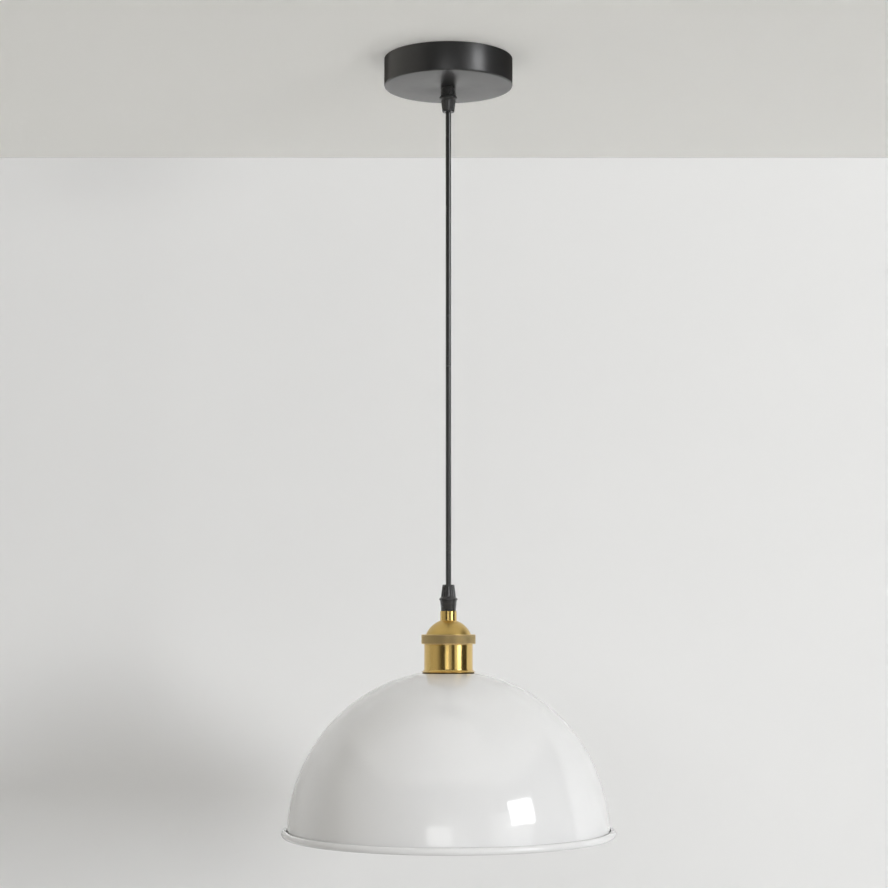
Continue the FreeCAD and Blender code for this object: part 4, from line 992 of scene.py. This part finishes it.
dome = arc(0.0, DOME_CENTRE, DOME_RADIUS, lean(DOME_FOOT, DOME_RADIUS),
           lean(SKIRT_RADIUS, DOME_RADIUS), 28)
vault_radius = DOME_RADIUS - BRASS_WALL
vault = arc(0.0, DOME_CENTRE, vault_radius, lean(SKIRT_RADIUS - BRASS_WALL, vault_radius),
            lean(NIPPLE_HOLE, vault_radius), 20)
cap = turned("spun_cap", eased(
    [(NIPPLE_HOLE, 0.0, 0.3), (NECK_RADIUS, 0.0, 0.4), (NECK_RADIUS, -NECK_HEIGHT, 0.2)] + dome
    + [(SKIRT_RADIUS, SKIRT_FOOT), (SKIRT_RADIUS - BRASS_WALL, SKIRT_FOOT)] + vault),
    BRASS_SATIN, sides=192, drop=HOLDER_TOP)
cap.data.materials.append(BRASS_POLISHED)
neck_foot = (HOLDER_TOP - NECK_HEIGHT - 0.1) * MM
for face in cap.data.polygons:
    face.material_index = 1 if face.center.z > neck_foot else 0
fit(cap, "lampholder", "brass_satin", "holder_cap")

# %% Knurled ring
RING_RADIUS = reach("knurled_ring")[0]
KNURL_COUNT, KNURL_PITCH, KNURL_DEPTH = 50, 3.0, 0.6
ring_low, ring_high = reach("knurled_ring")[1:]
outline = finer(eased([
    (SKIRT_RADIUS + 0.05, ring_low, 0.1), (RING_RADIUS, ring_low, 0.55),
    (RING_RADIUS, ring_high, 0.55), (SKIRT_RADIUS + 0.05, ring_high, 0.3)], steps=4), 0.24, least=24.6)
ring = turned("knurled_band", outline, BRASS_AGED, sides=KNURL_COUNT * 12)
rolled(ring, BRASS_AGED, ring_low + 0.5, ring_high - 0.5, KNURL_DEPTH, around=KNURL_COUNT,
       pitch=KNURL_PITCH, crossed=1.0, sharpness=4.0, fade=0.35, least=24.2, sharp=80.0)
fit(ring, "lampholder", "brass_aged", "knurled_ring")
print("knurl:", len(ring.data.polygons), "faces")

# %% Sleeve
SLEEVE_RADIUS, FLARE_RADIUS, FLARE_HEIGHT, FLARE_LIP = 22.25, 24.6, 4.3, 1.3
LIP_GAP, LIP_INSET = 1.0, 0.9
LEDGE_RISE, LEDGE_BORE = 3.9, 19.7
sleeve_foot = reach("holder_sleeve")[1]
ledge = sleeve_foot + LEDGE_RISE
flare_out, flare_down = FLARE_RADIUS - SLEEVE_RADIUS, FLARE_HEIGHT - FLARE_LIP
flare_sweep = (flare_out ** 2 + flare_down ** 2) / (2.0 * flare_out)
flare_end = 180.0 + math.degrees(math.asin(flare_down / flare_sweep))
flare = arc(SLEEVE_RADIUS + flare_sweep, sleeve_foot + FLARE_HEIGHT, flare_sweep, 180.0, flare_end, 12)
sleeve = turned("drawn_sleeve", eased(
    [(SLEEVE_RADIUS - BRASS_WALL, ring_low, 0.1), (SLEEVE_RADIUS, ring_low, 0.35)] + flare
    + [(FLARE_RADIUS, sleeve_foot + LIP_GAP, 0.15), (FLARE_RADIUS - LIP_INSET, sleeve_foot + LIP_GAP, 0.1),
       (FLARE_RADIUS - LIP_INSET, sleeve_foot, 0.1), (LEDGE_BORE, sleeve_foot, 0.1),
       (LEDGE_BORE, ledge, 0.1), (SLEEVE_RADIUS - BRASS_WALL, ledge)]), BRASS_POLISHED, sides=192)
# The faces under the lip take that dark brass: painted shade in the gap over the dome.
sleeve.data.materials.append(LIP_SHADE_BRASS)
lip_foot = (sleeve_foot + LIP_GAP - 0.02) * MM
for face in sleeve.data.polygons:
    face.material_index = 1 if face.center.z < lip_foot else 0
fit(sleeve, "lampholder", "brass_satin", "holder_sleeve")

# %% [markdown]
# ## Inside the holder
# Seen from below, the gap round the bulb shows porcelain, the screw shell and the collar. The shell
# and the collar carry threads: a rounded one with a pitch of 3.629 mm for the bulb and a coarse one
# with a pitch of 2.5 mm for the shade ring.

# %% Porcelain, shell, contact, collar and shade ring
CORE_HEAD, CORE_TUBE, CORE_CAVITY, RIVET_HOLE = 19.2, 17.2, 14.4, 2.0
CORE_SEAT, CORE_FLOOR = HOLDER_TOP - 49.6, HOLDER_TOP - 42.0
core_foot, core_top = reach("porcelain_core")[1:]
porcelain = turned("porcelain_body", eased([
    (RIVET_HOLE, core_top, 0.4), (RIVET_HOLE, CORE_FLOOR, 0.2), (CORE_CAVITY, CORE_FLOOR, 0.8),
    (CORE_CAVITY, core_foot, 0.9), (CORE_TUBE, core_foot, 0.9), (CORE_TUBE, CORE_SEAT, 0.4),
    (CORE_HEAD, CORE_SEAT, 0.6), (CORE_HEAD, core_top, 1.2)]), PORCELAIN)
fit(porcelain, "lampholder", "porcelain", "porcelain_core")
SHELL_WALL, SHELL_HOLE, BULB_PITCH = 0.4, 6.0, 3.629
shell_radius, shell_foot, shell_top = reach("screw_shell")
outline = finer(eased([
    (SHELL_HOLE, shell_top, 0.1), (SHELL_HOLE, shell_top - SHELL_WALL, 0.1),
    (shell_radius - SHELL_WALL, shell_top - SHELL_WALL, 0.4), (shell_radius - SHELL_WALL, shell_foot, 0.15),
    (shell_radius, shell_foot, 0.15), (shell_radius, shell_top, 0.6)]), 0.3, least=13.0)
shell = turned("screw_shell_threaded", outline, BRASS_PLAIN, sides=120)
rolled(shell, BRASS_PLAIN, shell_foot, shell_top, -0.34, around=-1.0, pitch=BULB_PITCH, least=13.0,
       fade=1.5)
fit(shell, "lampholder", "brass_plain", "screw_shell")
CONTACT_HEAD, CONTACT_HEAD_HEIGHT, CONTACT_SHANK, CONTACT_CLENCH = 4.0, 1.2, 1.95, 3.0
contact_low, contact_high = reach("centre_contact")[1:]
contact_seat = contact_low + CONTACT_HEAD_HEIGHT
contact = turned("contact_rivet", eased([
    (0.0, contact_high), (0.0, contact_low), (CONTACT_HEAD, contact_low, 0.5),
    (CONTACT_HEAD, contact_seat, 0.2), (CONTACT_SHANK, contact_seat), (CONTACT_SHANK, core_top),
    (CONTACT_CLENCH, core_top, 0.2), (CONTACT_CLENCH, contact_high, 0.5)]), BRASS_PLAIN, sides=64)
fit(contact, "lampholder", "brass_plain", "centre_contact")
COLLAR_RADIUS, COLLAR_BORE, RING_PITCH = 19.5, 17.4, 2.5
collar_head, collar_foot, collar_top = reach("threaded_collar")
outline = finer(eased([
    (COLLAR_BORE, collar_top, 0.2), (COLLAR_BORE, collar_foot, 0.4), (COLLAR_RADIUS, collar_foot, 0.8),
    (COLLAR_RADIUS, ledge), (collar_head, ledge, 0.2), (collar_head, collar_top, 0.3)]), 0.3,
    least=19.0, high=ledge)
collar = turned("shade_collar", outline, BRASS_PLAIN)
rolled(collar, BRASS_PLAIN, collar_foot, sleeve_foot - 0.9, 0.7, around=-1.0, pitch=RING_PITCH,
       least=18.6, fade=0.6)
fit(collar, "lampholder", "brass_plain", "threaded_collar")
nut_radius, nut_foot, nut_top = reach("shade_ring")
RING_NOTCHES = 24
outline = finer(eased([
    (COLLAR_RADIUS + 0.05, nut_top, 0.3), (COLLAR_RADIUS + 0.05, nut_foot, 0.3),
    (nut_radius - 1.5, nut_foot, 0.4), (nut_radius, nut_foot + 1.5, 0.4), (nut_radius, nut_top, 0.4)]),
    0.5, least=24.0)
clamp_ring = turned("shade_ring_notched", outline, BRASS_PLAIN, sides=RING_NOTCHES * 10)
rolled(clamp_ring, BRASS_PLAIN, nut_foot - 1.0, nut_top - 0.8, 0.9, around=RING_NOTCHES, least=23.9,
       fade=0.8, sharpness=3.0)
fit(clamp_ring, "lampholder", "brass_plain", "shade_ring")

# %% Terminals in the holder
fit(softened("holder_clamps", "holder_terminals", BRASS_PLAIN, 0.25), "lampholder", "brass_plain",
    "holder_terminals")
HOLDER_SCREW, HOLDER_SCREW_TURN = (1.9, 1.9, 1.2, 1.2, 0.5), 0.9
clamp_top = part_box("holder_terminals")[1][2] / MM
driver = slotted_screw("driver_blank", *HOLDER_SCREW, ZINC)
spots = [round_axis(CLAMP_REACH, 90.0 + 120.0 * index, clamp_top) for index in range(3)]
fit(set_out("holder_screws", driver, spots, HOLDER_SCREW_TURN, ZINC), "lampholder", "zinc_steel",
    "holder_terminal_screws")

# %% [markdown]
# ## Shade
# A half sphere spun from thin steel, enamelled white inside and out. It has a flat seat at the top
# for the holder, and its rim is rolled outwards into a bead. The crease where the bead comes back to
# the wall lies in shade and gathers grime, and is a dark line on the real one. One outline makes all
# of it: down the outside, round the bead, and up the inside. The faces deep in the crease take a dark
# finish: painted shade, along with the grime.

# %% Shade
SHADE_RADIUS, SHADE_WALL, SHADE_HOLE, BEAD_RADIUS = 146.0, 0.9, 19.8, 3.25
CREASE_GAP, CREASE_DEPTH = 0.9, 2.0
# Where the crease's painted shade and grime begin and end, in millimetres.
CREASE_DARK_INSIDE, CREASE_DARK_OUTSIDE, CREASE_DARK_BELOW, CREASE_DARK_TOP = 0.4, 0.1, 0.3, 0.5
shade_reach, shade_low, shade_top = reach("shade")
dome_height = shade_low + BEAD_RADIUS
bead_reach = shade_reach - BEAD_RADIUS
seat = shade_top - dome_height
crease_across = (SHADE_RADIUS ** 2 - BEAD_RADIUS ** 2 + bead_reach ** 2) / (2.0 * bead_reach)
crease_up = math.sqrt(SHADE_RADIUS ** 2 - crease_across ** 2)
inner_radius = SHADE_RADIUS - SHADE_WALL
outside = arc(0.0, dome_height, SHADE_RADIUS, math.degrees(math.asin(seat / SHADE_RADIUS)),
              math.degrees(math.asin((crease_up - CREASE_DEPTH) / SHADE_RADIUS)), 96)
bead_start = math.acos((SHADE_RADIUS + CREASE_GAP - bead_reach) / BEAD_RADIUS)
groove_foot = (SHADE_RADIUS + CREASE_GAP, dome_height + crease_up - CREASE_DEPTH)
bead = [groove_foot] + arc(bead_reach, dome_height, BEAD_RADIUS, math.degrees(bead_start), -180.0, 40)
inside = arc(0.0, dome_height, inner_radius, 0.0,
             math.degrees(math.asin((seat - SHADE_WALL) / inner_radius)), 80)
shade = turned("dome_shade", eased(
    [(SHADE_HOLE, shade_top, 0.2)] + outside + bead + inside[1:]
    + [(SHADE_HOLE, shade_top - SHADE_WALL, 0.2)]), ENAMEL, sides=256)
# The faces in the crease take that finish: painted shade in the crease, along with its grime.
shade.data.materials.append(CREASE_SHADE_AND_GRIME)
crease_low = dome_height + crease_up - CREASE_DEPTH - CREASE_DARK_BELOW
crease_high = dome_height + crease_up - CREASE_DARK_TOP
for face in shade.data.polygons:
    across, height = math.hypot(face.center.x, face.center.y) / MM, face.center.z / MM
    inside_crease = SHADE_RADIUS - CREASE_DARK_INSIDE < across < SHADE_RADIUS + CREASE_GAP + CREASE_DARK_OUTSIDE
    face.material_index = 1 if inside_crease and crease_low < height < crease_high else 0
fit(shade, "lampholder", "enamel_white", "shade")
print("shade:", len(shade.data.polygons), "faces, reach", round(shade_reach, 2))

# %% [markdown]
# ## Bulb
# An opal bulb hangs inside the shade, seen only from below. The glass runs from a globe up a
# straight side to its neck, the cap is thin plated metal with the rounded thread pressed in, and the
# tip has a bead of solder.

# %% Bulb
GLOBE_RADIUS, GLASS_WALL, BULB_SHOULDER, BULB_NECK, NECK_RISE = 30.0, 0.8, 13.4, 11.9, 8.0
bulb_foot = reach("bulb_glass")[1]
cap_radius, cap_foot, cap_top = reach("bulb_cap")
globe_height = bulb_foot + GLOBE_RADIUS
shoulder_height = cap_foot - 1.6


def glass_side(radius, shoulder):
    """The angle at which the straight side meets the globe, in degrees."""
    rise = shoulder_height - globe_height
    return math.degrees(math.asin(radius / math.hypot(shoulder, rise)) - math.atan2(shoulder, rise))


outer_start = glass_side(GLOBE_RADIUS, BULB_SHOULDER)
inner_start = glass_side(GLOBE_RADIUS - GLASS_WALL, BULB_SHOULDER - GLASS_WALL)
globe = arc(0.0, globe_height, GLOBE_RADIUS, -90.0, outer_start, 48)
hollow = arc(0.0, globe_height, GLOBE_RADIUS - GLASS_WALL, inner_start, -90.0, 48)
glass = turned("opal_globe", eased(
    [(BULB_NECK - GLASS_WALL, cap_foot + NECK_RISE, 0.2), (BULB_NECK - GLASS_WALL, cap_foot + 0.5, 4.0),
     (BULB_SHOULDER - GLASS_WALL, shoulder_height, 12.0)] + hollow
    + globe + [(BULB_SHOULDER, shoulder_height, 12.0), (BULB_NECK, cap_foot + 0.5, 4.0),
               (BULB_NECK, cap_foot + NECK_RISE, 0.2)], steps=8), OPAL, sides=128)
fit(glass, "bulb", "opal_glass", "bulb_glass")
CAP_WALL, CAP_CONE = 0.5, 2.6
outline = finer(eased([
    (8.2, cap_top, 0.1), (8.2, cap_top - CAP_WALL, 0.1), (cap_radius - CAP_WALL, cap_top - CAP_CONE, 0.4),
    (cap_radius - CAP_WALL, cap_foot, 0.1), (cap_radius, cap_foot, 0.15),
    (cap_radius, cap_top - CAP_CONE, 0.8), (9.2, cap_top, 0.3)]), 0.3, least=12.5)
cap_shell = turned("bulb_cap_threaded", outline, NICKEL, sides=120)
rolled(cap_shell, NICKEL, cap_foot + 1.5, cap_top - CAP_CONE, 0.45, around=-1.0, pitch=BULB_PITCH,
       least=12.4, fade=1.5)
fit(cap_shell, "bulb", "nickel_cap", "bulb_cap")
bead_radius, bead_foot, bead_top = reach("bulb_insulator")
insulator = turned("insulating_bead", eased([
    (0.0, bead_top), (0.0, bead_foot), (bead_radius, bead_foot, 0.3), (bead_radius, bead_foot + 0.9, 0.4),
    (4.6, bead_top, 0.6)]), BLACK_BEAD, sides=96)
fit(insulator, "bulb", "black_glass", "bulb_insulator")
tip_radius, tip_foot, tip_top = reach("bulb_contact_tip")
tip = turned("solder_tip", eased([
    (0.0, tip_top), (0.0, tip_foot), (tip_radius, tip_foot, 0.2), (tip_radius, tip_foot + 0.8, 0.5),
    (2.3, tip_top, 1.2)]), NICKEL, sides=64)
fit(tip, "bulb_tip", "nickel_cap", "bulb_contact_tip")

# %% [markdown]
# ## Studio
# The light hangs from a plain pale ceiling, in front of a plain pale wall, over a plain floor. Each
# sheet shows only its front, so a view from above or from behind sees past it. These sheets aren't
# part of the object.

# %% Ceiling, wall and floor
def studio_paper(name, tone, glow):
    """Matt pale paper, a little bright in itself, that is clear from behind."""
    material = bpy.data.materials.new(name)
    material.use_nodes = True
    wiring = Wiring(name, "", [], [], tree=material.node_tree)
    shader = material.node_tree.nodes["Principled BSDF"]
    shader.inputs["Roughness"].default_value = 0.9
    shader.inputs["Specular IOR Level"].default_value = 0.1
    grain = grouped(wiring, GRAIN, Scale=60.0)
    darker = tuple(value * 0.985 for value in tone)
    paper = mixed(wiring, grain["Mask"], darker, tone)
    wiring.feed(shader.inputs["Base Color"], paper)
    wiring.feed(shader.inputs["Emission Color"], paper)
    shader.inputs["Emission Strength"].default_value = glow
    back = wiring.tree.nodes.new("ShaderNodeNewGeometry").outputs["Backfacing"]
    clear = wiring.tree.nodes.new("ShaderNodeBsdfTransparent")
    either = wiring.node("ShaderNodeMixShader", {0: back, 1: shader.outputs[0], 2: clear.outputs[0]})
    output = next(node for node in wiring.tree.nodes if node.type == "OUTPUT_MATERIAL")
    wiring.feed(output.inputs[0], either.outputs[0])
    return material


def sheet_of_paper(name, corners, material):
    """A flat sheet whose front is the side from which its corners run anticlockwise."""
    mesh = bpy.data.meshes.new(name)
    mesh.from_pydata(corners, [], [tuple(range(len(corners)))])
    mesh.materials.append(material)
    sheet = bpy.data.objects.new(name, mesh)
    bpy.context.collection.objects.link(sheet)
    return sheet


WALL_BACK, FLOOR_DROP, ROOM_HALF, ROOM_FRONT, CEILING_GAP = 0.403, -1.9, 3.0, -3.5, 0.0005
WALL_GLOW, CEILING_GLOW, FLOOR_GLOW = 0.065, 0.19, 0.06
wall_paper = studio_paper("wall_paper", (0.80, 0.80, 0.80), WALL_GLOW)
sheet_of_paper("wall", [(-ROOM_HALF, WALL_BACK, FLOOR_DROP), (ROOM_HALF, WALL_BACK, FLOOR_DROP),
                        (ROOM_HALF, WALL_BACK, 0.0), (-ROOM_HALF, WALL_BACK, 0.0)], wall_paper)
ceiling = sheet_of_paper(
    "ceiling", [(-ROOM_HALF, WALL_BACK, CEILING_GAP), (ROOM_HALF, WALL_BACK, CEILING_GAP),
                (ROOM_HALF, ROOM_FRONT, CEILING_GAP), (-ROOM_HALF, ROOM_FRONT, CEILING_GAP)],
    studio_paper("ceiling_paper", (0.80, 0.795, 0.77), CEILING_GLOW))
ceiling.visible_glossy = False
ceiling.visible_shadow = False
sheet_of_paper("floor", [(-ROOM_HALF, ROOM_FRONT, FLOOR_DROP), (ROOM_HALF, ROOM_FRONT, FLOOR_DROP),
                         (ROOM_HALF, WALL_BACK, FLOOR_DROP), (-ROOM_HALF, WALL_BACK, FLOOR_DROP)],
               studio_paper("floor_paper", (0.55, 0.54, 0.52), FLOOR_GLOW))

# %% [markdown]
# ## Lights
# A panel does two jobs: it lights the pieces, and it shows in glossy surfaces as its own shape. Here
# the jobs are shared out. Two crisp panels give the square glints on the dome. Two dim wide ones
# broaden the bright bands on the brass. A small near one to the right and a wide one in front light
# the pieces without showing, and the small one throws the soft shadow on the wall. The surroundings
# are dark, with a pale side on the left.

# %% Panels and surroundings
DARK_STUDIO, LEFT_STUDIO, PALE_STUDIO = (0.040, 0.036, 0.030), (0.50, 0.48, 0.44), (0.62, 0.62, 0.61)
PANEL_DISTANCE, LOOKED_AT = 12.0, (0.0, 0.0, -0.62)


def panel(name, turn, lift, wide, tall, brightness, tone=(1.0, 1.0, 1.0), shows=True, fills=True,
          distance=PANEL_DISTANCE):
    """A square panel that looks at the light from a direction given in degrees: turn is to the
    right of straight in front, and lift is above level. Wide and tall are the angles it covers.
    It can be left out of the reflections or out of the soft light."""
    lamp = bpy.data.lights.new(name, "AREA")
    lamp.shape = "RECTANGLE"
    lamp.size, lamp.size_y = (2.0 * distance * math.tan(math.radians(angle / 2.0))
                              for angle in (wide, tall))
    lamp.energy = 4.0 * brightness * lamp.size * lamp.size_y
    placed = bpy.data.objects.new(name, lamp)
    a, e = math.radians(turn), math.radians(lift)
    away = Vector((math.sin(a) * math.cos(e), -math.cos(a) * math.cos(e), math.sin(e)))
    placed.location = Vector(LOOKED_AT) + away * distance
    placed.rotation_euler = away.to_track_quat("Z", "Y").to_euler()
    lamp.color = tone
    placed.visible_camera = False
    placed.visible_glossy = shows
    placed.visible_diffuse = fills
    bpy.context.collection.objects.link(placed)


panel("right_panel", 54.3, 15.8, 19.0, 15.3, 5.5, tone=(0.975, 0.985, 1.0), fills=False)
panel("right_fill", 45.0, 5.0, 14.0, 14.0, 21.0, tone=(0.965, 0.98, 1.0), shows=False, distance=4.2)
panel("right_glow", 45.0, 4.0, 30.0, 26.0, 0.8, fills=False)
panel("front_panel", -7.0, 2.5, 17.5, 13.0, 1.3)
panel("front_glow", 1.0, 0.0, 28.0, 30.0, 0.5, fills=False)
panel("front_fill", -5.0, 20.0, 60.0, 40.0, 0.72, shows=False)
panel("overhead", 0.0, 90.0, 100.0, 100.0, 0.5, tone=(1.0, 0.98, 0.94), fills=False)
world = bpy.data.worlds.new("surroundings")
world.use_nodes = True
wiring = Wiring("surroundings", "", [], [], tree=world.node_tree)
seen = wiring.tree.nodes.new("ShaderNodeLightPath").outputs["Is Camera Ray"]
towards = wiring.tree.nodes.new("ShaderNodeTexCoord").outputs["Generated"]
side = wiring.node("ShaderNodeSeparateXYZ", {0: towards}).outputs[0]
left = wiring.node("ShaderNodeMapRange", {"Value": side, "From Min": -0.5, "From Max": -0.92},
                   interpolation_type="SMOOTHSTEP").outputs[0]
room = mixed(wiring, left, DARK_STUDIO, LEFT_STUDIO)
wiring.feed(world.node_tree.nodes["Background"].inputs["Color"],
            mixed(wiring, seen, room, PALE_STUDIO))
bpy.context.scene.world = world
bpy.context.scene.view_settings.view_transform = "Standard"
